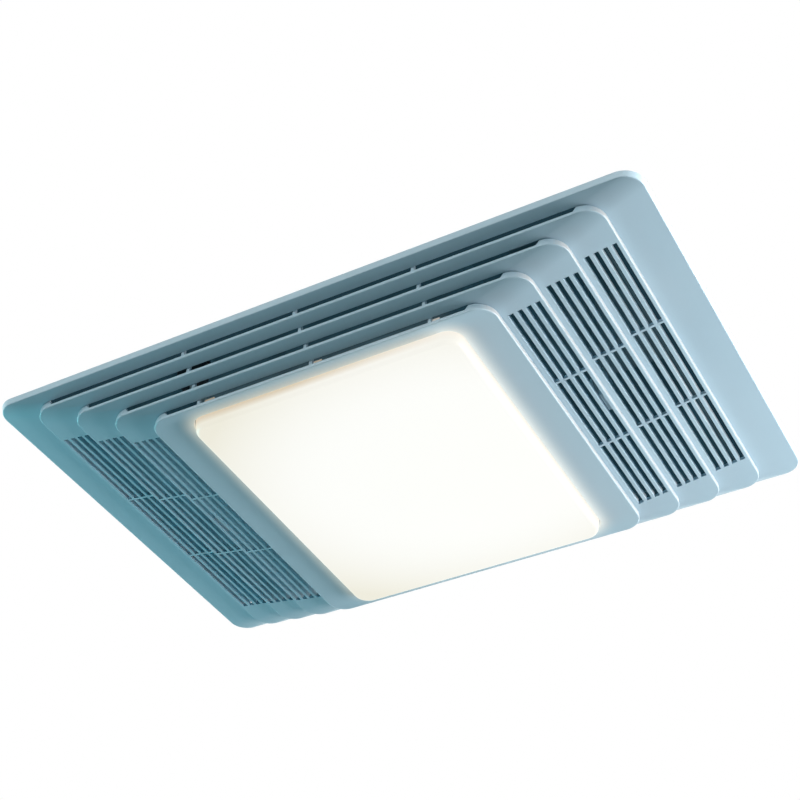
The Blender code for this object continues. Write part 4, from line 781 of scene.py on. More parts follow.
def zinc_group():
    """Zinc coat: flat crystals of several greys, rolling lines and faint dull patches."""
    tree, source, output = new_group("zinc_spangle", {
        "Colour": (0.6, 0.62, 0.64, 1.0), "Crystal scale": 140.0, "Base roughness": 0.38,
        "Contrast": 0.13},
        FINISH_OUTPUTS)
    o = source.outputs
    spot = object_coordinates(tree)
    wander = noise(tree, spot, 60.0, 2.0)
    offset = add(tree, "ShaderNodeVectorMath", {0: wander.outputs["Color"],
                                                1: (0.012, 0.012, 0.012)}, operation="MULTIPLY")
    warped = add(tree, "ShaderNodeVectorMath", {0: spot, 1: offset.outputs[0]}, operation="ADD")
    cells = add(tree, "ShaderNodeTexVoronoi", {"Vector": warped.outputs[0],
                                               "Scale": o["Crystal scale"]})
    grey = add(tree, "ShaderNodeRGBToBW", {0: cells.outputs["Color"]})
    lines = noise(tree, add(tree, "ShaderNodeMapping", {
        "Vector": spot, "Scale": (3.0, 3.0, 260.0)}).outputs[0], 3.0, 3.0)
    patches = noise(tree, spot, 14.0, 3.0)
    value = maths(tree, "ADD", off_middle(tree, grey.outputs[0], o["Contrast"]),
                  off_middle(tree, patches.outputs[0], 0.12))
    tint = scaled(tree, o["Colour"], maths(tree, "ADD", value, 1.0))
    rough = maths(tree, "ADD", o["Base roughness"], maths(
        tree, "ADD", off_middle(tree, grey.outputs[0], 0.15),
        off_middle(tree, lines.outputs[0], 0.12)))
    height = maths(tree, "ADD", times(tree, grey.outputs[0], 0.5),
                   times(tree, lines.outputs[0], 0.25))
    return end_group(tree, output, Colour=tint, Roughness=rough, Height=height)


def worn_group():
    """Handled metal or paint: speckle, fine scratches in two directions and duller patches."""
    tree, source, output = new_group("fine_wear", {
        "Colour": (0.5, 0.5, 0.5, 1.0), "Worn colour": (0.6, 0.6, 0.6, 1.0),
        "Scale": 120.0, "Wear": 0.3, "Base roughness": 0.35},
        FINISH_OUTPUTS)
    o = source.outputs
    spot = object_coordinates(tree)
    speckle = noise(tree, spot, o["Scale"], 4.0, 0.65)
    scratches = []
    for turn in ((0.2, 0.5, 0.9), (1.1, -0.4, 0.3)):
        stretched = add(tree, "ShaderNodeMapping", {
            "Vector": spot, "Rotation": turn, "Scale": (1.0, 26.0, 1.0)})
        scratches.append(noise(tree, stretched.outputs[0], o["Scale"], 2.0).outputs[0])
    fine = maths(tree, "MAXIMUM", *scratches)
    both = maths(tree, "ADD", times(tree, fine, 0.6), times(tree, speckle.outputs[0], 0.4))
    mask = remap(tree, both, 0.56, 0.72, 0.0, 1.0)
    tint = mixed(tree, times(tree, mask, o["Wear"]), o["Colour"], o["Worn colour"])
    rough = maths(tree, "ADD", o["Base roughness"],
                  off_middle(tree, speckle.outputs[0], 0.25))
    return end_group(tree, output, Colour=tint, Roughness=rough,
                     Height=times(tree, fine, 0.5))


def within_group():
    """Mask that is 1 inside a box with round corners round the part's middle, and 0 outside."""
    tree, source, output = new_group("inside_box_mask", {
        "Half length": 0.18, "Half width": 0.126, "Top": 0.193, "Foot": -1.0,
        "Corner": 0.002},
        {"Mask": "NodeSocketFloat"})
    o = source.outputs
    spot = object_axes(tree)
    past = []
    for axis, half in ((0, "Half length"), (1, "Half width")):
        beyond = maths(tree, "SUBTRACT", maths(tree, "ABSOLUTE", spot[axis]),
                       maths(tree, "SUBTRACT", o[half], o["Corner"]))
        past.append(maths(tree, "MAXIMUM", beyond, 0.0))
    across = maths(tree, "LESS_THAN", sum_of_squares(tree, *past),
                   times(tree, o["Corner"], o["Corner"]))
    below = maths(tree, "LESS_THAN", spot[2], o["Top"])
    foot = maths(tree, "LESS_THAN", spot[2], o["Foot"])
    return end_group(tree, output, Mask=maths(tree, "MAXIMUM", foot,
                                              times(tree, across, below)))


SHADER_GROUPS = {}


def shader_group(name):
    """A shared shader group, built on its first use."""
    if name not in SHADER_GROUPS:
        SHADER_GROUPS[name] = {"moulded": moulded_group, "zinc": zinc_group,
                               "worn": worn_group, "within": within_group}[name]()
    return SHADER_GROUPS[name]


def new_material(name):
    made = bpy.data.materials.new(name)
    made.use_nodes = True
    return made


def principled(made):
    return made.node_tree, made.node_tree.nodes["Principled BSDF"]


def opaque(rgb):
    return (*rgb, 1.0)


def finish_of(name, group, values, bump, metallic=0.0, **constants):
    """A Principled material fed by a shared group; constants go on the shader's sockets."""
    made = new_material(name)
    tree, shader = principled(made)
    effect = add(tree, "ShaderNodeGroup", node_tree=shader_group(group))
    for label, value in values.items():
        effect.inputs[label].default_value = value
    relief = add(tree, "ShaderNodeBump", {"Height": effect.outputs["Height"],
                                          "Strength": bump, "Distance": 0.0002})
    tree.links.new(effect.outputs["Colour"], shader.inputs["Base Color"])
    tree.links.new(effect.outputs["Roughness"], shader.inputs["Roughness"])
    tree.links.new(relief.outputs[0], shader.inputs["Normal"])
    shader.inputs["Metallic"].default_value = metallic
    for label, value in constants.items():
        shader.inputs[label.replace("_", " ")].default_value = value
    return made


def moulded(name, tint, deeper, grain, rough, spread, bump, **constants):
    """Plastic, rubber or glass; spread is the range of its roughness."""
    return finish_of(name, "moulded", {
        "Colour": opaque(tint), "Deeper colour": opaque(deeper), "Grain scale": grain,
        "Base roughness": rough, "Roughness range": spread}, bump, **constants)


def worn(name, tint, worn_tint, scale, rough, wear, bump, metallic=0.0, **constants):
    """Handled metal, enamel or glaze."""
    return finish_of(name, "worn", {
        "Colour": opaque(tint), "Worn colour": opaque(worn_tint), "Scale": scale,
        "Base roughness": rough, "Wear": wear}, bump, metallic, **constants)


def banded(name, axis, wave, gaps, bands, stain, grain, share, rough, relief, metallic):
    """Metal in fine bands across an axis, with another tint between them, and stained.

    Grain is the scale and detail of the stains, share the limits between which they grow and
    what they grow to, rough the limits of the roughness.
    """
    made = new_material(name)
    tree, shader = principled(made)
    spot = object_coordinates(tree)
    waves = add(tree, "ShaderNodeTexWave", {"Vector": spot, **wave}, wave_type="BANDS",
                bands_direction=axis).outputs["Fac"]
    stains = noise(tree, spot, *grain).outputs[0]
    tint = mixed(tree, waves, opaque(gaps), opaque(bands))
    aged = mixed(tree, remap(tree, stains, *share), tint, opaque(stain))
    raised = add(tree, "ShaderNodeBump", {"Height": waves, "Strength": relief,
                                          "Distance": 0.0003})
    tree.links.new(aged, shader.inputs["Base Color"])
    tree.links.new(remap(tree, stains, 0.3, 0.7, *rough), shader.inputs["Roughness"])
    tree.links.new(raised.outputs[0], shader.inputs["Normal"])
    shader.inputs["Metallic"].default_value = metallic
    return made


def paint_shade_in_box(made, limits, tint, rough, metallic=None, outside=False):
    """Paint shade on the part of a finish inside (or outside) a box: a darker colour, another
    roughness and a faint painted glow.

    The limits are the box's half length, half width, top, foot and corner radius.
    """
    tree, shader = principled(made)
    mask = add(tree, "ShaderNodeGroup", node_tree=shader_group("within"))
    for label, value in zip(("Half length", "Half width", "Top", "Foot", "Corner"), limits):
        mask.inputs[label].default_value = value
    chosen = maths(tree, "SUBTRACT", 1.0, mask.outputs[0]) if outside else mask.outputs[0]
    drift = noise(tree, object_coordinates(tree), 40.0, 3.0)
    soft = remap(tree, drift.outputs[0], 0.3, 0.7, 0.75, 1.25)
    old_tint = shader.inputs["Base Color"].links[0].from_socket
    old_rough = shader.inputs["Roughness"].links[0].from_socket
    tree.links.new(mixed(tree, chosen, old_tint, scaled(tree, tint, soft)),
                   shader.inputs["Base Color"])
    # painted glow: a faint emission of stray light in the shaded part
    tree.links.new(scaled(tree, INNER_PAINTED_GLOW, times(tree, chosen, soft)),
                   shader.inputs["Emission Color"])
    shader.inputs["Emission Strength"].default_value = 1.0
    gap = times(tree, chosen, maths(tree, "SUBTRACT", rough, old_rough))
    tree.links.new(maths(tree, "ADD", old_rough, gap), shader.inputs["Roughness"])
    if metallic is not None:
        base = shader.inputs["Metallic"].default_value
        tree.links.new(remap(tree, chosen, 0.0, 1.0, base, metallic),
                       shader.inputs["Metallic"])


MATERIALS = {}


def build_materials(scene):
    """Every finish of the fan, by the record's slot names."""
    grille, lens, wheel = scene.fan_grille, scene.fan_lens, scene.fan_blower.wheel
    MATERIALS["grille_plastic"] = moulded(
        "pale_blue_grille_plastic", grille.plastic, grille.plastic_shade, grain=700.0,
        rough=0.33, spread=0.10, bump=0.10, Specular_IOR_Level=0.45)
    painted_shade_on_ends(MATERIALS["grille_plastic"])
    painted_glow_round_lens(MATERIALS["grille_plastic"], lens)
    MATERIALS["lens_plastic"] = lens_finish(lens)
    MATERIALS["galvanised_steel"] = finish_of(
        "galvanised_sheet", "zinc", {"Colour": opaque(scene.fan_housing.zinc),
                                     "Crystal scale": 120.0, "Base roughness": 0.36},
        bump=0.10, metallic=1.0)
    # painted shade: the inside of the can, and all of it below 1.2 mm, dark teal with a faint
    # painted glow
    paint_shade_in_box(MATERIALS["galvanised_steel"],
              (CAN_HIGH.x - 0.0006, CAN_HIGH.y - 0.0006, CAN_HIGH.z - 0.0028, 0.0012),
              tint=(0.045, 0.070, 0.080), rough=0.55, metallic=0.35)
    MATERIALS["spring_steel"] = worn(
        "drawn_spring_wire", (0.14, 0.15, 0.16), (0.34, 0.34, 0.33), scale=400.0, rough=0.32,
        wear=0.5, bump=0.15, metallic=1.0)
    # painted shade: the springs darker inside the can and below 1.2 mm, with the faint painted glow
    paint_shade_in_box(MATERIALS["spring_steel"], (CAN_HIGH.x, CAN_HIGH.y, CAN_HIGH.z, 0.0012),
              tint=(0.09, 0.11, 0.12), rough=0.45, metallic=0.6)
    MATERIALS["reflector_paint"] = worn(
        "white_reflector_enamel", (0.66, 0.66, 0.64), (0.58, 0.57, 0.54), scale=90.0,
        rough=0.30, wear=0.25, bump=0.06)
    # painted shade: the outside of the reflector pan dark teal, with the faint painted glow
    paint_shade_in_box(MATERIALS["reflector_paint"],
              (PAN_HIGH.x - 0.0005, PAN_HIGH.y - 0.0005, PAN_HIGH.z - 0.0005, -1.0, 0.0065),
              tint=(0.040, 0.062, 0.072), rough=0.6, outside=True)
    MATERIALS["black_plastic"] = moulded(
        "black_moulded_plastic", (0.032, 0.033, 0.036), (0.022, 0.023, 0.026), grain=900.0,
        rough=0.46, spread=0.14, bump=0.25)
    MATERIALS["wheel_plastic"] = moulded(
        "wheel_glass_filled_plastic", wheel, [v * 0.8 for v in wheel], grain=1300.0,
        rough=0.50, spread=0.20, bump=0.2)
    MATERIALS["socket_ceramic"] = worn(
        "glazed_socket_porcelain", (0.80, 0.78, 0.73), (0.62, 0.59, 0.52), scale=220.0,
        rough=0.20, wear=0.2, bump=0.05, Coat_Weight=0.6, Coat_Roughness=0.08)
    MATERIALS["opal_glass"] = bulb_finish(lens)
    MATERIALS["hub_brass"] = worn(
        "turned_brass", (0.66, 0.49, 0.22), (0.80, 0.66, 0.38), scale=300.0, rough=0.27,
        wear=0.6, bump=0.12, metallic=1.0)
    MATERIALS["winding_enamel"] = banded(
        "enamelled_copper_winding", "X", {"Scale": 560.0, "Distortion": 0.6, "Detail": 1.0},
        gaps=(0.10, 0.030, 0.012), bands=(0.62, 0.25, 0.10), stain=(0.22, 0.09, 0.04),
        grain=(90.0, 3.0), share=(0.0, 1.0, 0.0, 0.5), rough=(0.24, 0.42), relief=0.6,
        metallic=0.7)
    MATERIALS["stator_iron"] = banded(
        "stacked_iron_sheets", "Z", {"Scale": 320.0, "Distortion": 0.3},
        gaps=(0.10, 0.10, 0.105), bands=(0.34, 0.34, 0.35), stain=(0.17, 0.085, 0.045),
        grain=(70.0, 4.0), share=(0.52, 0.75, 0.0, 0.55), rough=(0.34, 0.60), relief=0.4,
        metallic=0.85)
    MATERIALS["grommet_rubber"] = moulded(
        "grommet_rubber", (0.030, 0.030, 0.031), (0.045, 0.044, 0.043), grain=1500.0,
        rough=0.72, spread=0.15, bump=0.3)
    MATERIALS["lead_sheath"] = moulded(
        "lead_sheath", (0.70, 0.70, 0.67), (0.62, 0.62, 0.60), grain=1100.0, rough=0.44,
        spread=0.12, bump=0.15)
    MATERIALS["ground_paint"] = worn(
        "green_ground_screw", (0.045, 0.25, 0.085), (0.45, 0.43, 0.36), scale=320.0,
        rough=0.36, wear=0.55, bump=0.1, metallic=0.3)


def painted_shade_on_ends(made):
    """Painted shade: a darker, more neutral tint on the upright faces of the short ends, which face
    the lamps.
    """
    tree, shader = principled(made)
    share = add(tree, "ShaderNodeAttribute", attribute_name=END_SHADE_MARK)
    tint = shader.inputs["Base Color"].links[0].from_socket
    tree.links.new(mixed(tree, share.outputs["Fac"], tint, (0.385, 0.410, 0.425, 1.0)),
                   shader.inputs["Base Color"])


def painted_glow_round_lens(made, settings):
    """Painted glow: warm emission in the plastic close to the lens opening, fading within a few
    millimetres.
    """
    tree, shader = principled(made)
    x, y, z = object_axes(tree)
    corner = LENS_CORNER + TAB_PLAY
    past = [maths(tree, "MAXIMUM", maths(tree, "SUBTRACT", maths(tree, "ABSOLUTE", axis),
                                         size - corner), 0.0)
            for axis, size in zip((x, y), OPENING)]
    away = maths(tree, "SUBTRACT", maths(tree, "SQRT", sum_of_squares(tree, *past)), corner)
    near = maths(tree, "POWER", remap(tree, away, 0.0, 0.012, 1.0, 0.0), 2.0)
    level = remap(tree, z, PLATEAU + 0.0005, PLATEAU + 0.004, 1.0, 0.3)
    light = scaled(tree, settings.shine, times(tree, times(tree, near, level), 0.33))
    # painted sheen: a faint emission over the plateau that grows towards the right, where the key
    # lamp is
    wide = times(tree, remap(tree, x, -0.10, 0.11, 0.045, 0.120),
                 remap(tree, z, PLATEAU + 0.0004, PLATEAU + 0.0010, 1.0, 0.0))
    veil = scaled(tree, settings.veil, wide)
    both = add(tree, "ShaderNodeVectorMath", {0: light, 1: veil}, operation="ADD")
    tree.links.new(both.outputs[0], shader.inputs["Emission Color"])
    shader.inputs["Emission Strength"].default_value = 1.0


def lens_finish(settings):
    """Frosted plastic lit from behind: bright over the lamps, warmer and duller at the corner."""
    made = moulded("frosted_lens_plastic", (0.060, 0.058, 0.052), (0.054, 0.051, 0.046),
                   grain=1100.0, rough=0.42, spread=0.08, bump=0.05, Specular_IOR_Level=0.3)
    tree, shader = principled(made)
    x, y, z = object_axes(tree)
    off = times(tree, maths(tree, "SUBTRACT", x, 0.040), 0.8)
    away = maths(tree, "SQRT", sum_of_squares(tree, off, y))
    cool = maths(tree, "POWER", remap(tree, away, 0.060, 0.137, 0.0, 1.0), 2.0)
    lit = mixed(tree, cool, opaque(settings.glow), opaque(settings.glow_edge))
    side = remap(tree, z, LENS_LOW.z + 0.0022, PLATEAU, 0.0, 1.0)
    at_side = mixed(tree, remap(tree, x, -0.02, 0.085, 0.0, 1.0),
                    opaque(settings.side_glow), (0.94, 0.89, 0.80, 1.0))
    rays = add(tree, "ShaderNodeLightPath")
    spill = remap(tree, rays.outputs["Is Diffuse Ray"], 0.0, 1.0, 1.0, settings.spill)
    tabs = remap(tree, z, PLATEAU + 0.0015, PLATEAU + 0.0040, 1.0, 0.5)
    light = scaled(tree, mixed(tree, side, lit, at_side), times(tree, spill, tabs))
    tree.links.new(light, shader.inputs["Emission Color"])
    shader.inputs["Emission Strength"].default_value = settings.strength
    return made


def bulb_finish(settings):
    """Opal glass, lit."""
    made = moulded("lit_opal_glass", (0.82, 0.80, 0.75), (0.80, 0.77, 0.71), grain=500.0,
                   rough=0.16, spread=0.04, bump=0.02)
    tree, shader = principled(made)
    veil = noise(tree, object_coordinates(tree), 30.0, 2.0)
    lit = mixed(tree, veil.outputs[0], (1.0, 0.90, 0.72, 1.0), opaque(settings.glow))
    tree.links.new(lit, shader.inputs["Emission Color"])
    shader.inputs["Emission Strength"].default_value = 0.9
    return made


def shader_mix(tree, share, a, b):
    """Mix Shader of two nodes."""
    return add(tree, "ShaderNodeMixShader", {0: share, 1: a.outputs[0], 2: b.outputs[0]})


def end_material(tree, shader):
    tree.links.new(shader.outputs[0], tree.nodes["Material Output"].inputs[0])


# The pieces

def inset(size, by):
    return size - Vector((by, by))


def sheet_along(path, thickness, low, high, bend):
    """Sheet bent along a plan polyline, between two heights, with rounded bends."""
    line = [Vector(spot) for spot in rounded(path, bend, 5, closed=False)]
    left, right = [], []
    for k, spot in enumerate(line):
        before, after = line[max(k - 1, 0)], line[min(k + 1, len(line) - 1)]
        way = (after - before).normalized()
        side = Vector((-way.y, way.x)) * (thickness / 2)
        left.append(tuple(spot + side))
        right.append(tuple(spot - side))
    return prism_mesh(left + right[::-1], low, high)


def grown_on(tree, spots, directions, values):
    """Run a tree on points that carry directions."""
    return grown(tree, values, points_mesh(spots, directions))


def cover_shell(settings):
    """Closed shell of the terraces: its room side with rounded lips, then its back."""
    r = settings.lip_round
    half = GRILLE_HIGH.xy
    flange = inset(half, RIM_DRAFT)

    loops = [ring(half, CORNER_RADIUS + RIM_DRAFT, 0.0)]
    for in_by, off in quarter(r, 4):
        by = RIM_DRAFT * (1 - r / RIM_HEIGHT) + in_by
        loops.append(ring(inset(half, by), CORNER_RADIUS + RIM_DRAFT - by, -RIM_HEIGHT + off))
    for lip, top in zip(LIPS, RISER_TOPS):
        low = top - RISER_HEIGHT
        deep = inset(lip, GROOVE_DEPTH)
        loops.append(ring(lip, CORNER_RADIUS, top, dip=RISER_DIP))
        loops.append(ring(deep, CORNER_RADIUS - GROOVE_DEPTH, top - 0.0001, dip=RISER_DIP))
        loops.append(ring(deep, CORNER_RADIUS - GROOVE_DEPTH, top - GROOVE_HEIGHT,
                          dip=RISER_DIP))
        loops.append(ring(lip, CORNER_RADIUS, top - GROOVE_HEIGHT, dip=RISER_DIP))
        for by, off in quarter(r, 5):
            loops.append(ring(inset(lip, by), CORNER_RADIUS - by, low + off))
    edge = 0.0005
    corner = LENS_CORNER + TAB_PLAY
    for wider, height in ((edge, 0.0), (edge * 0.3, edge * 0.3), (0.0, edge),
                          (0.0, COLLAR_HEIGHT), (WALL, COLLAR_HEIGHT), (WALL, WALL)):
        loops.append(ring(inset(OPENING, -wider), corner + wider, PLATEAU + height))
    for lip, top in reversed(list(zip(LIPS, RISER_TOPS))):
        loops.append(ring(inset(lip, WALL), CORNER_RADIUS - WALL, top - RISER_HEIGHT + WALL))
        loops.append(ring(inset(lip, WALL), CORNER_RADIUS - WALL, top + WALL, dip=RISER_DIP))
    loops.append(ring(inset(flange, WALL), CORNER_RADIUS - WALL, -RIM_HEIGHT + WALL))
    loops.append(ring(inset(half, WALL), CORNER_RADIUS + RIM_DRAFT - WALL, 0.0))
    return loft(loops, closed=True)


def slot_rows(settings):
    """From the next riser to the first slot, the pitch, and half the length of each row."""
    first = settings.slot_margin + settings.slot_width / 2
    last = LIP_STEP.x - settings.slot_outer_margin - settings.slot_width / 2
    pitch = (last - first) / (settings.slots - 1)
    ends = [LIPS[0].y - FIRST_ROW_SHORT - (LIP_STEP.y - ROW_GAIN) * level
            for level in range(TERRACES - 1)]
    return first, pitch, ends


def slot_cutters(settings, tree, material):
    """Cutters for the slots of all six end faces."""
    first, pitch, ends = slot_rows(settings)
    made = []
    for level, end in enumerate(ends):
        middle = (RISER_TOPS[level] - RISER_HEIGHT + RISER_TOPS[level + 1] + WALL) / 2
        made += both_ends(grown(tree, {
            "Slots": settings.slots, "Pitch": pitch, "Slot width": settings.slot_width,
            "Slot length": 2 * end, "Parts": 3, "Rib": settings.slot_rib, "Depth": SLOT_CUT,
            "First slot": (LIPS[level + 1].x + first, 0.0, middle), "Material": material}))
    return made


def slot_fins(settings, tree, material):
    """Tall fins on the back of the end faces, beside every slot."""
    first, pitch, ends = slot_rows(settings)
    foot, head = 0.0007, WALL + settings.fin_height
    slope = (FACE_FALL + RISER_DIP) / LIP_STEP.x
    made = []
    for level, end in enumerate(ends):
        rows = grown(tree, {
            "Slots": settings.slots + 1, "Pitch": pitch,
            "Slot width": pitch - settings.slot_width - 2 * HAIR, "Slot length": 2 * end,
            "Parts": 1, "Rib": 0.0, "Depth": head - foot, "Material": material,
            "First slot": (first - pitch / 2, 0.0, (head + foot) / 2)})
        rows.transform(Matrix(((1, 0, 0, LIPS[level + 1].x), (0, 1, 0, 0),
                               (slope, 0, 1, RISER_TOPS[level + 1] - RISER_DIP), (0, 0, 0, 1))))
        made += both_ends(rows)
    return joined(made)


def slit_cutters(settings):
    """Cutters for the slits of the long risers; the two outer ends of a slit are slanted."""
    made = []
    half_rib = settings.slit_rib / 2
    slant = 0.0012
    past = 0.001                  # by which the cutters reach out of the wall
    for level in range(TERRACES):
        end = LIPS[level].x - CORNER_RADIUS - SLIT_END
        top = RISER_TOPS[level] - 0.00005
        roof = RISER_TOPS[level] + WALL + 2 * past
        low = RISER_TOPS[level] - RISER_HEIGHT + settings.lip_height
        stops = [-end - half_rib, -OUTER_RIB, 0.0, OUTER_RIB, end + half_rib]
        for index, (a, b) in enumerate(zip(stops, stops[1:])):
            x0, x1 = a + half_rib, b - half_rib
            lean0 = slant if index == 0 else 0.0
            lean1 = slant if index == len(stops) - 2 else 0.0
            points = [(x0 + lean0, low), (x1 - lean1, low), (x1 + lean1, top), (x0 - lean0, top)]
            y0, y1 = LIPS[level].y - WALL - past, LIPS[level].y + past
            lift = (roof - top) * lean1 / (top - low), (roof - top) * lean0 / (top - low)
            tall = [*points[:2], (x1 + lean1 + lift[0], roof), (x0 - lean0 - lift[1], roof)]
            for shape, a_y, b_y in ((points, y0 + past / 10, y1), (tall, y0, LIPS[level].y - HAIR)):
                slab = prism_mesh(shape, a_y, b_y)
                slab.transform(SWAP_Y_Z)
                slab.flip_normals()
                made.append(both_ends(slab))
    return made


def spring_posts():
    """Plate and peg on the back of the third riser at both ends."""
    thick, half_width, plate_top = 0.0028, 0.008, -0.005
    radius, reach = 0.004, 0.0084
    face = LIPS[2].x - WALL - thick
    foot = RISER_TOPS[2] - RISER_HEIGHT + WALL / 2
    plate = box_mesh((face, -half_width, foot), (LIPS[2].x - WALL / 2, half_width, plate_top))
    peg = turned(rounded([(0.0, 0.0), (radius, 0.0), (radius, reach), (0.0, reach)], 0.0008,
                         closed=False), closed=False, sides=32)
    peg.transform(pointing((-1, 0, 0), (face + thick / 2, 0, PEG_HEIGHT)))
    return joined(both_ends(plate)), joined(both_ends(peg))


def mark_end_risers(mesh):
    """Face attribute that is 1 on the upright outer faces of both short ends, where shade is
    painted.
    """
    start = 0.45                  # of the normal's X; twice that is marked in full
    share = mesh.attributes.new(END_SHADE_MARK, "FLOAT", "FACE")
    for face, mark in zip(mesh.polygons, share.data):
        for lip in LIPS:
            past = [max(abs(value) - half + CORNER_RADIUS, 0.0)
                    for value, half in zip(face.center, lip)]
            if abs(math.hypot(*past) - CORNER_RADIUS) < LIP_REACH:
                mark.value = min(max((abs(face.normal.x) - start) / start, 0.0), 1.0)


class FAN_OT_materials(bpy.types.Operator):
    """Make every finish and give the carried-over CAD nodes theirs"""
    bl_idname = "fan.materials"
    bl_label = "Finishes"

    def execute(self, context):
        build_materials(context.scene)
        for slot, nodes in SLOTS.items():
            for node in nodes:
                own = bpy.data.objects[node].data.materials
                own.clear()
                own.append(MATERIALS[slot])
        return {"FINISHED"}


class FAN_OT_grille(bpy.types.Operator):
    """Build the terraced grille with its slots, slits and spring posts"""
    bl_idname = "fan.grille"
    bl_label = "Grille"

    def execute(self, context):
        settings = context.scene.fan_grille
        material = MATERIALS["grille_plastic"]
        shell = cover_shell(settings)
        plates, pegs = spring_posts()
        rows = slot_tree()
        shell = cut(shell, joined(slot_cutters(settings, rows, material)))
        slits = slit_cutters(settings)
        for part in (0, 1):
            shell = cut(shell, joined([slab for pair in slits[part::2] for slab in pair]))
        for extra in (plates, pegs, slot_fins(settings, rows, material)):
            shell = cut(shell, extra, "UNION")
        if len(shell.polygons) < LEAST_FACES:
            raise RuntimeError("the grille's slots were not cut")
        shell = smoothed(clean(shell, False))
        mark_end_risers(shell)
        fit_piece("grille_cover", shell, "grille", "grille_plastic", ("grille",))
        return {"FINISHED"}


class FAN_OT_lens(bpy.types.Operator):
    """Build the lit lens: a tray with rounded edges and six snap tabs"""
    bl_idname = "fan.lens"
    bl_label = "Lens"

    def execute(self, context):
        settings = context.scene.fan_lens
        r, wall = settings.edge_round, settings.wall
        bottom = LENS_LOW.z
        top = PLATEAU + 0.004         # the lens reaches this far through its opening
        draft = 0.0008
        foot = inset(LENS_HALF, draft)
        outer = [ring(LENS_HALF, LENS_CORNER, top)]
        for by, off in quarter(r, 8):
            outer.append(ring(inset(foot, by), LENS_CORNER - by * 0.7, bottom + off))
        last = outer[-1]
        for shrink in (0.75, 0.5, 0.25):
            outer.append([Vector((v.x * shrink, v.y * shrink, bottom)) for v in last])
        inner = [ring(inset(LENS_HALF, wall), LENS_CORNER - wall, top),
                 ring(inset(foot, wall), LENS_CORNER - wall, bottom + r),
                 ring(inset(foot, wall + 0.001), LENS_CORNER - wall - 0.001, bottom + wall)]
        tray = vessel(outer, inner)
        # Two rows of three snap tabs
        half_tab = 0.00325
        shift = 0.002                 # that the photo shows
        reach = LENS_HALF.x - LENS_CORNER - half_tab
        profile = rounded([(0.0, 0.0), (0.0012, 0.0), (0.0012, 0.0072), (0.0018, 0.0080),
                           (0.0008, 0.0110), (0.0, 0.0110)], 0.0003, 2)
        tabs = []
        for index in (-1, 0, 1):
            middle = min(reach, max(-reach, index * OUTER_RIB - shift))
            for side in (-1, 1):
                y = side * (LENS_HALF.y - wall / 2)
                tab = prism_mesh(profile, -half_tab, half_tab)
                stand = on_end()
                if side < 0:
                    stand = Matrix.Diagonal((1, -1, 1, 1)) @ stand
                tab.transform(Matrix.Translation((middle, y - side * 0.0006, top - 0.001)) @ stand)
                tabs.append(clean(tab))
        tray = cut(tray, joined(tabs), "UNION")
        fit_piece("lens_diffuser", smoothed(tray), "lens", "lens_plastic", ("lens",))
        return {"FINISHED"}


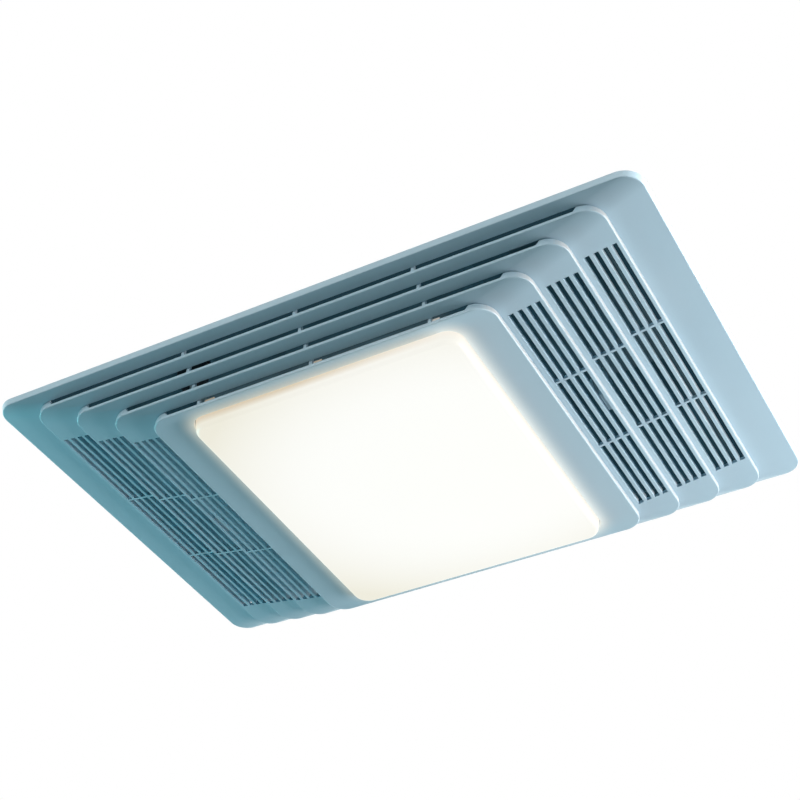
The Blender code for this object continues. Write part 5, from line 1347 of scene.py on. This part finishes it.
class FAN_OT_housing(bpy.types.Operator):
    """Build the folded steel housing with its lid, groove, ribs, rivets and knock-outs"""
    bl_idname = "fan.housing"
    bl_label = "Housing"

    def execute(self, context):
        settings = context.scene.fan_housing
        zinc = MATERIALS["galvanised_steel"]
        half = CAN_HIGH.xy
        top, t, bend = CAN_HIGH.z, settings.sheet, settings.bend
        groove, depth = settings.groove_inset, settings.groove_depth
        lid = top - 0.012
        lid_rivets = top - 0.0070
        proud = 0.0006                # of the lid's band
        corner_row = 0.1195           # tabs and rivets near the corners of the end walls
        rib_height = settings.rib_height
        outer = [ring(half, bend, CAN_LOW.z), ring(half, bend, lid),
                 ring(inset(half, -proud), bend + proud, lid + 0.0001)]
        for in_by, off in quarter(bend, 5):
            by = in_by - proud
            outer.append(ring(inset(half, by), max(bend - by, 0.0004), top - off))
        for by, down in ((groove, 0.0), (groove + 0.0006, 0.0002), (groove + 0.0022, 0.85),
                         (groove + 0.0030, 1.0), (groove + 0.0065, 1.0),
                         (groove + 0.0073, 0.85), (groove + 0.0089, 0.0002),
                         (groove + 0.0095, 0.0)):
            drop = depth * down if down > 0.5 else down
            outer.append(ring(inset(half, by), max(0.016 - (by - groove), 0.004), top - drop))
        inner = [ring(inset(half, t), bend - t, CAN_LOW.z)]
        for in_by, off in quarter(bend - t, 3):
            by = t + in_by
            inner.append(ring(inset(half, by), max(bend - by, 0.0003), top - t - off))
        for by, down in ((groove, 0.0), (groove + 0.003, 1.0), (groove + 0.0065, 1.0),
                         (groove + 0.0095, 0.0)):
            inner.append(ring(inset(half, by), max(0.016 - (by - groove), 0.004),
                              top - t - depth * down))
        shell = vessel(outer, inner)
        opening = [(v.x, v.y) for v in ring(Vector((0.0317, 0.02575)), 0.004, 0.0, 5)]
        duct = prism_mesh(opening, -0.004, 0.004)
        duct.transform(on_end(CAN_HIGH.x, *COLLAR_CENTRE))
        entry = drill(0.0108, 0.004, 40)
        entry.transform(pointing((-1, 0, 0), (CAN_LOW.x, 0.0, GLAND_AXIS)))
        shell = cut(shell, joined([duct, entry]))
        # Welded studs for the motor plate
        studs = []
        for x, y in ((-0.115, 0.070), (-0.115, -0.100), (0.065, -0.100)):
            stud = turned(rounded([(0.0, 0.0), (0.005, 0.0), (0.005, -0.0510), (0.003, -0.0510),
                                   (0.003, -0.0606), (0.0, -0.0606)], 0.0005, 2, False),
                          False, 24)
            stud.transform(Matrix.Translation((x, y, top - t + 0.0002)))
            studs.append(stud)
        fit_piece("housing_shell", smoothed(joined([shell, *studs])), "housing",
                  "galvanised_steel", ("housing_can",))

        # Ribs of both long walls and of the left end
        ribs = rib_tree()
        parts = []
        count, spread, middle = settings.ribs, 0.126, 0.118
        spots, ways = [], []
        for k in range(count):
            x = -spread + 2 * spread * k / (count - 1)
            for side in (-1, 1):
                spots.append((x, side * half.y, middle))
                ways.append((0, side, 0))
        parts.append(grown_on(ribs, spots, ways, {
            "Length": 0.100, "Width": 0.011, "Height": rib_height, "Material": zinc}))
        spots = [(CAN_LOW.x, side * 0.083, z) for side in (-1, 1) for z in (0.085, 0.125, 0.160)]
        parts.append(grown_on(ribs, spots, [(-1, 0, 0)] * len(spots), {
            "Length": 0.046, "Width": 0.009, "Height": rib_height, "Material": zinc}))
        # Rivets of the lid, then of the end walls
        spots, ways = [], []
        for side in (-1, 1):
            for x in (-0.150, -0.050, 0.050, 0.150):
                spots.append((x, side * (half.y + proud), lid_rivets))
                ways.append((0, side, 0))
            for y in (-0.118, -0.060, 0.060, 0.118):
                spots.append((side * (half.x + proud), y, lid_rivets))
                ways.append((side, 0, 0))
            for y in (-1, 1):
                for z in (0.055, 0.095, 0.135, 0.170):
                    spots.append((side * (half.x + 0.0008), y * corner_row, z))
                    ways.append((side, 0, 0))
        parts.append(grown_on(ribs, spots, ways, {
            "Length": 0.0062, "Width": 0.0062, "Height": 0.0013, "Material": zinc}))
        # Tabs of the long walls that lie on the end walls
        tabs = []
        for side in (-1, 1):
            for end in (-1, 1):
                plan = [(v.x, v.y) for v in ring(Vector((0.0065, 0.070)), 0.0025, 0.0, 4)]
                tab = prism_mesh(plan, -0.0004, 0.0008)
                tab.transform(on_end(side * half.x, end * corner_row, 0.1135, side))
                tabs.append(clean(tab))
        parts.append(joined(tabs))
        # Knock-outs of the left end and of the top
        discs = disc_tree()
        parts.append(grown_on(discs, [(CAN_LOW.x, -0.040, GLAND_AXIS), (CAN_LOW.x, 0.040, 0.088),
                                      (-0.11, 0.0, top), (-0.11, 0.055, top)],
                              [(-1, 0, 0), (-1, 0, 0), (0, 0, 1), (0, 0, 1)],
                              {"Radius": 0.0110, "Height": 0.0007, "Material": zinc}))
        fit_piece("housing_details", smoothed(joined(parts), weighted=False), "housing",
                  "galvanised_steel")
        self.brackets(zinc, ribs)
        return {"FINISHED"}

    def brackets(self, zinc, ribs):
        """Channels for the joists, with nail holes, rivets and a long rib."""
        for name, side in (("left", -1), ("right", 1)):
            low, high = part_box("mounting_bracket_" + name)
            near = min(abs(low.x), abs(high.x))
            far = max(abs(low.x), abs(high.x))
            t = 0.0012
            y = high.y - t / 2
            path = [(far, -y), (near + t / 2, -y), (near + t / 2, y), (far, y)]
            sheet = sheet_along(path, t, low.z, high.z, 0.0022)
            holes = []
            for z in (0.0145, 0.0315):
                hole = drill(0.0022, 0.14, 24)
                hole.transform(pointing((0, 1, 0), (near + 0.0126, 0, z)))
                holes.append(hole)
            sheet = cut(sheet, joined(holes))
            sheet.transform(Matrix.Diagonal((side, 1, 1, 1)))
            if side < 0:
                sheet.flip_normals()
            rivets = grown_on(ribs, [(side * (near + t), y, z) for y in (-0.09, -0.03, 0.03, 0.09)
                                     for z in (0.016, 0.030)], [(side, 0, 0)] * 8,
                              {"Length": 0.006, "Width": 0.006, "Height": 0.0015,
                               "Material": zinc})
            long = grown_on(ribs, [(side * (near + t), 0.0, 0.023)], [(side, 0, 0)],
                            {"Length": 0.15, "Width": 0.007, "Height": 0.0011,
                             "Material": zinc})
            fit_piece("joist_bracket_" + name, smoothed(joined([sheet, rivets, long])),
                      "housing", "galvanised_steel", ("mounting_bracket_" + name,))


class FAN_OT_outlets(bpy.types.Operator):
    """Build the duct collar, the ribs of its flap and the cable gland"""
    bl_idname = "fan.outlets"
    bl_label = "Duct collar and gland"

    def execute(self, context):
        black = MATERIALS["black_plastic"]
        long = COLLAR_HIGH.x - COLLAR_LOW.x
        tube, wall = 0.050, 0.0010
        flange = (COLLAR_HIGH.y - COLLAR_LOW.y) / 2
        bead = [(tube, 0.0215), (tube + 0.0009, 0.0226), (tube + 0.0014, 0.0240),
                (tube + 0.0009, 0.0254), (tube, 0.0265)]
        outside = rounded([(tube - wall, 0.0), (flange, 0.0), (flange, 0.0015),
                           (tube, 0.0015)], 0.0006, 3, closed=False)
        inside = [(r - wall, h) for r, h in reversed(bead)]
        end = [(tube, long - 0.0012), (tube - 0.0003, long - 0.0003), (tube - 0.0007, long),
               (tube - wall, long - 0.0004)]
        profile = outside[:-1] + [(tube + 0.0009, 0.0016), (tube + 0.0003, 0.0020),
                                  (tube, 0.0027)] + bead + end + inside
        collar = turned(profile, True, 96)
        collar.transform(pointing((1, 0, 0), (COLLAR_LOW.x, COLLAR_CENTRE.x, COLLAR_CENTRE.y)))
        fit_piece("duct_collar_turned", smoothed(collar), "housing", "black_plastic",
                  ("duct_collar",))

        face = FLAP_LOW.x + 0.0012
        middle = (FLAP_LOW.y + FLAP_HIGH.y) / 2
        ribs = grown_on(rib_tree(), [(face, middle, z) for z in (0.090, 0.101, 0.112, 0.123)],
                        [(1, 0, 0)] * 4, {"Length": 0.058, "Width": 0.0022, "Height": 0.0009,
                                          "Material": black})
        fit_piece("damper_ribs", smoothed(ribs, weighted=False), "damper", "black_plastic")

        length_out = GLAND_HIGH.x - GLAND_LOW.x
        profile = [(0.0070, 0.0), (0.0105, 0.0), (0.0105, 0.0073), (0.0134, 0.0073),
                   (0.0140, 0.0079), (0.0140, 0.0107), (0.0134, 0.0113), (0.0106, 0.0114)]
        height = 0.0122
        while height < length_out - 0.0012:
            profile += [(0.0105, height), (0.0100, height + 0.0005)]
            height += 0.0010
        profile += [(0.0105, length_out - 0.0006), (0.0100, length_out), (0.0075, length_out),
                    (0.0070, length_out - 0.0005)]
        gland = turned(profile, True, 48)
        gland.transform(pointing((-1, 0, 0), (GLAND_HIGH.x, 0.0, GLAND_AXIS)))
        fit_piece("cable_gland_turned", smoothed(gland), "housing", "galvanised_steel",
                  ("cable_gland",))
        return {"FINISHED"}


class FAN_OT_lamps(bpy.types.Operator):
    """Build the reflector pan, the porcelain sockets and the two lamps"""
    bl_idname = "fan.lamps"
    bl_label = "Lamps and reflector"

    def execute(self, context):
        half = PAN_HIGH.xy
        low, top, wall, bend = PAN_LOW.z, PAN_HIGH.z, 0.0010, 0.0050
        outer = [ring(half, 0.007, low)]
        for by, off in quarter(bend, 5):
            outer.append(ring(inset(half, by), 0.007 - by * 0.6, top - off))
        inner = [ring(inset(half, wall), 0.006, low)]
        for in_by, off in quarter(bend - wall, 4):
            by = wall + in_by
            inner.append(ring(inset(half, by), 0.006 - (by - wall) * 0.6, top - wall - off))
        pan = vessel(outer, inner)
        hole = drill(0.0051, 0.004, 32)
        low_bush, high_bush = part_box("lead_bushing")
        hole.transform(Matrix.Translation(((low_bush.x + high_bush.x) / 2,
                                           (low_bush.y + high_bush.y) / 2, top)))
        pan = cut(pan, hole)
        fit_piece("reflector_pan", smoothed(pan), "housing", "reflector_paint", ("light_pan",))

        socket = turned(rounded([
            (0.0, 0.0), (0.0150, 0.0), (0.0150, 0.0030), (0.0185, 0.0040), (0.0185, 0.0140),
            (0.0172, 0.0160), (0.0172, 0.0320), (0.0185, 0.0330), (0.0185, 0.0360),
            (0.0136, 0.0360), (0.0136, 0.0080), (0.0, 0.0080)], 0.0007, 3, False), False)
        ball, middle = 29, 85.3       # millimetres
        bulb = [(ball * math.sin(math.radians(a)) / 1000,
                 (middle + ball * math.cos(math.radians(a))) / 1000) for a in range(0, 112, 8)]
        bulb += [(0.0252, 0.0712), (0.0226, 0.0640), (0.0198, 0.0570), (0.0174, 0.0505),
                 (0.0157, 0.0450), (0.0146, 0.0400), (0.0138, 0.0366), (0.0, 0.0366)]
        glass = turned(bulb, False)
        thread = [(0.0, 0.0084), (0.0050, 0.0084), (0.0055, 0.0090), (0.0055, 0.0102),
                  (0.0105, 0.0125), (0.0126, 0.0140)]
        height = 0.0150
        while height < 0.0330:
            thread += [(0.0121, height), (0.0129, height + 0.0008), (0.0129, height + 0.0012)]
            height += 0.0020
        thread += [(0.0126, 0.0340), (0.0134, 0.0352), (0.0134, 0.0367), (0.0, 0.0367)]
        brass = turned(thread, False, 48)
        for name in ("left", "right"):
            low_s, high_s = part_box("lamp_socket_" + name)
            place = pointing((0, -1, 0), ((low_s.x + high_s.x) / 2, high_s.y,
                                          (low_s.z + high_s.z) / 2))
            fit_piece("socket_" + name, smoothed(moved(socket, place)), "housing", "socket_ceramic",
                      ("lamp_socket_" + name,))
            fit_piece("bulb_" + name, smoothed(moved(glass, place)),
                      "housing", "opal_glass", ("lamp_" + name,))
            fit_piece("bulb_base_" + name, smoothed(moved(brass, place)), "housing", "hub_brass")
        return {"FINISHED"}


class FAN_OT_blower(bpy.types.Operator):
    """Build the blower wheel with its curved blades and the wound motor coil"""
    bl_idname = "fan.blower"
    bl_label = "Blower and motor"

    def execute(self, context):
        settings = context.scene.fan_blower
        plastic = MATERIALS["wheel_plastic"]
        centre = (WHEEL_LOW + WHEEL_HIGH) / 2
        radius = (WHEEL_HIGH.x - WHEEL_LOW.x) / 2
        inner = radius - 0.009
        low, top = WHEEL_LOW.z, WHEEL_HIGH.z
        blades = grown(blade_tree(), {
            "Blades": settings.blades, "Middle radius": (radius + inner) / 2 - 0.0002,
            "Depth": 0.0076, "Sheet": settings.blade_sheet, "Height": top - low - 0.0040,
            "Low": low + 0.0024, "Centre": (centre.x, centre.y, 0.0), "Material": plastic})
        rings = [turned(rounded([(inner, low), (radius, low), (radius, low + 0.003),
                                 (inner, low + 0.003)], 0.0006, 3), True, 96),
                 turned(rounded([(radius - 0.0014, 0.1078), (radius, 0.1078),
                                 (radius, 0.1098), (radius - 0.0014, 0.1098)], 0.0004, 2),
                        True, 96),
                 turned(rounded([(0.0083, top - 0.002), (radius, top - 0.002), (radius, top),
                                 (0.0083, top)], 0.0006, 3), True, 96)]
        rings = [moved(part, Matrix.Translation((centre.x, centre.y, 0))) for part in rings]
        fit_piece("squirrel_cage", smoothed(joined([clean(blades), *rings])), "blower",
                  "wheel_plastic", ("blower_wheel",))

        low_c, high_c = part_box("motor_coil")
        mid = (low_c + high_c) / 2
        size = (high_c - low_c) / 2
        stack = []
        flange = 0.0012
        winding = []
        rows = 11
        long = size.x - flange
        for k in range(rows * 2 + 1):
            h = -long + 2 * long * k / (rows * 2)
            by = 0.0010 if k % 2 else 0.0004
            winding.append(ring(Vector((size.y - by, size.z - by)), 0.0045, h, 6))
        core = Vector((size.y - 0.0065, size.z - 0.0065))
        stack.append(loft(winding + [ring(core, 0.0006, long, 6), ring(core, 0.0006, -long, 6)],
                          closed=True))
        for side in (-1, 1):
            a, b = sorted((side * long, side * size.x))
            full = Vector((size.y, size.z))
            stack.append(loft([ring(full, 0.003, a, 6), ring(full, 0.003, b, 6),
                               ring(core, 0.0006, b, 6), ring(core, 0.0006, a, 6)], closed=True))
        coil = joined(stack)
        coil.transform(on_end(*mid))
        fit_piece("wound_coil", smoothed(clean(coil), 40), "housing", "winding_enamel",
                  ("motor_coil",))
        return {"FINISHED"}


class FAN_OT_springs(bpy.types.Operator):
    """Build the two hairpin springs that hold the grille"""
    bl_idname = "fan.springs"
    bl_label = "Springs"

    def execute(self, context):
        for name in ("left", "right"):
            low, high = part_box("spring_" + name)
            wire = (high.x - low.x) / 2
            plane = (low.x + high.x) / 2
            leg, reach, top = 0.0055, high.y - wire, high.z - wire
            peg = PEG_HEIGHT
            spots = rounded([(reach, top), (leg, top), (leg, peg)], 0.0022, 5, False)
            for k in range(1, 24):
                angle = math.radians(180) * k / 24
                spots.append((leg * math.cos(angle), peg - leg * math.sin(angle)))
            spots += rounded([(-leg, peg), (-leg, top), (-reach, top)], 0.0022, 5, False)
            data = bpy.data.curves.new("spring", "CURVE")
            data.dimensions = "3D"
            data.bevel_depth = wire
            data.bevel_resolution = 5
            data.use_fill_caps = True
            line = data.splines.new("POLY")
            line.points.add(len(spots) - 1)
            for point, (y, z) in zip(line.points, spots):
                point.co = (plane, y, z, 1.0)
            fit_piece("hairpin_spring_" + name, smoothed(clean(evaluated(worked(data)))), "grille",
                      "spring_steel", ("spring_" + name,))
        return {"FINISHED"}


class FAN_OT_screws(bpy.types.Operator):
    """Build every cross-recessed screw on the points where the CAD has one"""
    bl_idname = "fan.screws"
    bl_label = "Screws"

    def execute(self, context):
        settings = context.scene.fan_fasteners
        tree = screw_tree()
        steel = MATERIALS["galvanised_steel"]
        plain = {"Head radius": settings.head_radius, "Head height": settings.head_height,
                 "Shank radius": settings.shank_radius, "Shank": 0.0050, "Material": steel}
        up, near, far, left = (0, 0, 1), (0, -1, 0), (0, 1, 0), (-1, 0, 0)
        ground = {**plain, "Shank": 0.0042, "Material": MATERIALS["ground_paint"]}
        fitted = {"pan_screw_left": up, "pan_screw_right": up, "bridge_screw_near": near,
                  "bridge_screw_far": far, "wiring_screw": left, "scroll_screw_1": up,
                  "scroll_screw_2": up, "scroll_screw_3": up, "socket_screw_left": far,
                  "socket_screw_right": far}
        long = {"motor_screw_left": up, "motor_screw_right": up}
        for name, slot, ways, values in (
                ("fitted_screws", "galvanised_steel", fitted, plain),
                ("motor_long_screws", "galvanised_steel", long, {**plain, "Shank": 0.0409}),
                ("green_ground_screw", "ground_paint", {"ground_screw": left}, ground)):
            fit_piece(name, self.grown_screws(tree, ways, values), "housing", slot, list(ways))
        # Four small screws in the collar's flange
        flange, circle = 0.0015, 0.0541
        spots, ways = [], []
        for k in range(4):
            angle = math.radians(45 + 90 * k)
            spots.append((COLLAR_LOW.x + flange, COLLAR_CENTRE.x + circle * math.cos(angle),
                          COLLAR_CENTRE.y + circle * math.sin(angle)))
            ways.append((1, 0, 0))
        small = grown_on(tree, spots, ways, {
            "Head radius": 0.0031, "Head height": 0.0015, "Shank radius": 0.0014,
            "Shank": 0.0045, "Material": steel})
        fit_piece("collar_screws", smoothed(small, 40), "housing", "galvanised_steel")
        return {"FINISHED"}

    def grown_screws(self, tree, ways, values):
        """Heads on the outer end of each CAD screw's box."""
        spots = []
        for name, way in ways.items():
            low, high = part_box(name)
            axis = Vector(way)
            reach = abs((high - low).dot(axis)) / 2
            spots.append((low + high) / 2 + axis * (reach - values["Head height"]))
        return smoothed(grown_on(tree, spots, list(ways.values()), values), 40)


class FAN_OT_stage(bpy.types.Operator):
    """Set the camera, the lamps, the white ceiling sheet and the floor"""
    bl_idname = "fan.stage"
    bl_label = "Stage"

    def execute(self, context):
        scene = context.scene
        settings = scene.fan_stage
        self.camera(scene)
        scene.view_settings.view_transform = "Standard"
        self.world(scene, settings)
        self.ceiling(settings)
        self.floor(settings)
        for name, spot, size, power, tint in (
                ("key_lamp", (1.02, 0.38, -0.28), 0.60, settings.key_power, (1.0, 0.985, 0.97)),
                ("side_lamp", (-1.1, 0.1, -0.35), 0.5, settings.side_power, (0.15, 0.90, 1.0)),
                ("top_lamp", (0.25, -0.55, 2.1), 1.6, settings.top_power, (1.0, 1.0, 1.0))):
            lamp = self.lamp(name, "AREA", power, tint, shape="SQUARE", size=size)
            lamp.location = spot
            lamp.rotation_euler = (-Vector(spot)).to_track_quat("-Z", "Y").to_euler()
        for side in (-1, 1):
            self.inner_lights(side)
        return {"FINISHED"}

    def camera(self, scene):
        """The photo's camera."""
        camera = new_object("camera", bpy.data.cameras.new("camera"))
        right = CAMERA_RIGHT.normalized()
        back = right.cross(CAMERA_UP).normalized()
        up = back.cross(right)
        place = Matrix((right, up, back)).transposed().to_4x4()
        camera.matrix_world = Matrix.Translation(CAMERA_SPOT) @ place
        camera.data.sensor_width = SENSOR_WIDTH
        camera.data.lens = FOCAL_LENGTH
        camera.data.clip_start = 0.01
        camera.data.clip_end = 60.0
        scene.camera = camera

    def world(self, scene, settings):
        """White to the camera and in reflections, a soft fill to every other ray."""
        world = bpy.data.worlds.new("studio")
        world.use_nodes = True
        scene.world = world
        tree = world.node_tree
        shown = tree.nodes["Background"]
        shown.inputs["Color"].default_value = (1.0, 1.0, 1.0, 1.0)
        soft = add(tree, "ShaderNodeBackground", {"Color": opaque(settings.fill),
                                                  "Strength": 1.0})
        rays = add(tree, "ShaderNodeLightPath")
        clear = maths(tree, "MAXIMUM", rays.outputs["Is Camera Ray"], maths(
            tree, "MAXIMUM", rays.outputs["Is Glossy Ray"], rays.outputs["Is Transmission Ray"]))
        both = shader_mix(tree, clear, soft, shown)
        tree.links.new(both.outputs[0], tree.nodes["World Output"].inputs[0])

    def lamp(self, name, kind, power, tint, **shape):
        """A light that the camera doesn't see."""
        data = bpy.data.lights.new(name, kind)
        data.energy = power
        data.color = tint
        for key, value in shape.items():
            setattr(data, key, value)
        lamp = new_object(name, data)
        lamp.visible_camera = False
        return lamp

    def inner_lights(self, side):
        """Stray light of one end, so that its openings aren't quite black."""
        for spot in ((side * 0.155, 0.095, 0.035), (side * 0.115, -0.112, 0.055)):
            glimmer = self.lamp("inner_glimmer", "POINT", 0.012, (0.35, 0.8, 1.0),
                                shadow_soft_size=0.01)
            glimmer.location = spot
            glimmer.visible_glossy = False
        leak = self.lamp("leak_lamp", "AREA", 0.011, (0.55, 0.95, 1.0), shape="RECTANGLE",
                         size=0.20, size_y=0.008)
        turn = Vector((side, 0, -0.45)).to_track_quat("-Z", "Y").to_matrix().to_4x4()
        leak.matrix_world = Matrix.Translation((side * 0.103, 0, 0.004)) @ turn
        leak.visible_glossy = False

    def ceiling(self, settings):
        """White to the camera from the room, not there from above; it lights the grille's sides."""
        rim = inset(GRILLE_HIGH.xy, RIM_LAP)
        sheet = self.frame_sheet("ceiling_sheet", Vector((1.3, 1.3)), rim)
        material = new_material("white_ceiling")
        tree = material.node_tree
        tree.nodes.remove(tree.nodes["Principled BSDF"])
        paint = add(tree, "ShaderNodeBsdfDiffuse", {"Color": (0.85, 0.85, 0.85, 1.0)})
        glow = add(tree, "ShaderNodeEmission", {"Color": (1.0, 0.99, 0.95, 1.0),
                                                "Strength": settings.ceiling_light})
        lit = add(tree, "ShaderNodeAddShader", {0: paint.outputs[0], 1: glow.outputs[0]})
        above = add(tree, "ShaderNodeNewGeometry").outputs["Backfacing"]
        rays = add(tree, "ShaderNodeLightPath")
        white = add(tree, "ShaderNodeEmission", {"Strength": 1.0})
        seen = shader_mix(tree, above, white, add(tree, "ShaderNodeBsdfTransparent"))
        under = shader_mix(tree, above, lit, paint)
        end_material(tree, shader_mix(tree, rays.outputs["Is Camera Ray"], under, seen))
        sheet.data.materials.append(material)

        gap = inset(FIRST_LIP, GAP_LAP)
        # the strip is white backdrop; the gap is a dark sheet of painted shade where the void round
        # the housing would lie in shadow
        for name, outer, inner, tint in (
                ("ceiling_strip", rim, gap, (1.0, 1.0, 1.0)),
                ("ceiling_gap_painted_shade", gap, CAN_HIGH.xy, (0.012, 0.034, 0.048))):
            self.shown_sheet(self.frame_sheet(name, outer, inner), tint)

    def shown_sheet(self, sheet, tint):
        """Give a frame one plain colour that only the camera sees, and only from the room."""
        material = new_material(sheet.name)
        tree = material.node_tree
        tree.nodes.remove(tree.nodes["Principled BSDF"])
        above = add(tree, "ShaderNodeNewGeometry").outputs["Backfacing"]
        plain = add(tree, "ShaderNodeEmission", {"Color": opaque(tint)})
        end_material(tree, shader_mix(tree, above, plain, add(tree, "ShaderNodeBsdfTransparent")))
        sheet.data.materials.append(material)
        sheet.visible_diffuse = False
        sheet.visible_glossy = False
        sheet.visible_transmission = False
        sheet.visible_shadow = False

    def frame_sheet(self, name, outer, inner):
        """A flat frame in the ceiling plane, facing the room."""
        work = bmesh.new()
        rows = [[work.verts.new(spot) for spot in ring(size, CORNER_RADIUS, RIM_TO_SHEET)]
                for size in (outer, inner)]
        for a, b in zip(range(len(rows[0])), [*range(1, len(rows[0])), 0]):
            work.faces.new((rows[0][a], rows[1][a], rows[1][b], rows[0][b]))
        for face in work.faces:
            face.normal_update()
            if face.normal.z > 0:
                face.normal_flip()
        sheet = new_object(name, from_bmesh(work, name))
        return sheet

    def floor(self, settings):
        """Pale floor, white to the camera but for the shadows on it."""
        size = 30.0
        work = bmesh.new()
        corners = [work.verts.new((sx * size, sy * size, settings.floor_level))
                   for sx, sy in ((1, 1), (-1, 1), (-1, -1), (1, -1))]
        work.faces.new(corners)
        floor = new_object("floor", from_bmesh(work, "floor"))
        material = new_material("pale_floor")
        tree, shader = principled(material)
        patches = noise(tree, object_coordinates(tree), 0.8, 2.0)
        tint = mixed(tree, patches.outputs[0], (0.86, 0.86, 0.86, 1.0), (0.90, 0.90, 0.90, 1.0))
        tree.links.new(tint, shader.inputs["Base Color"])
        shader.inputs["Roughness"].default_value = 0.8
        rays = add(tree, "ShaderNodeLightPath")
        white = add(tree, "ShaderNodeEmission", {"Strength": 1.0})
        share_of_white = maths(tree, "MAXIMUM", times(tree, rays.outputs["Is Camera Ray"], 0.97),
                               times(tree, rays.outputs["Is Glossy Ray"], 0.76))
        bright = shader_mix(tree, share_of_white, shader, white)
        dim = add(tree, "ShaderNodeBsdfDiffuse", {"Color": (0.10, 0.13, 0.14, 1.0)})
        end_material(tree, shader_mix(tree, rays.outputs["Is Diffuse Ray"], bright, dim))
        floor.data.materials.append(material)


class FAN_PT_panel(bpy.types.Panel):
    """Steps that build the fan"""
    bl_idname = "FAN_PT_panel"
    bl_label = "Bathroom fan with light"
    bl_space_type = "VIEW_3D"
    bl_region_type = "UI"
    bl_category = "Fan"

    def draw(self, context):
        for step in STEPS:
            self.layout.operator(step.bl_idname)
        for name in SETTINGS:
            group = getattr(context.scene, name)
            box = self.layout.box()
            for item in group.bl_rna.properties:
                if not item.is_readonly and item.identifier != "name":
                    box.prop(group, item.identifier)


STEPS = (FAN_OT_materials, FAN_OT_stage, FAN_OT_grille, FAN_OT_lens, FAN_OT_housing,
         FAN_OT_outlets, FAN_OT_lamps, FAN_OT_blower, FAN_OT_springs, FAN_OT_screws)
SETTINGS = {"fan_grille": FanGrilleSettings, "fan_lens": FanLensSettings,
            "fan_housing": FanHousingSettings, "fan_blower": FanBlowerSettings,
            "fan_fasteners": FanFastenerSettings, "fan_stage": FanStageSettings}


def register():
    for kind in (*SETTINGS.values(), *STEPS, FAN_PT_panel):
        bpy.utils.register_class(kind)
    for name, kind in SETTINGS.items():
        setattr(bpy.types.Scene, name, bpy.props.PointerProperty(type=kind))


def unregister():
    for name in SETTINGS:
        delattr(bpy.types.Scene, name)
    for kind in reversed((*SETTINGS.values(), *STEPS, FAN_PT_panel)):
        bpy.utils.unregister_class(kind)


def main():
    register()
    for step in STEPS:
        area, name = step.bl_idname.split(".")
        getattr(getattr(bpy.ops, area), name)()


if __name__ == "__main__":
    main()
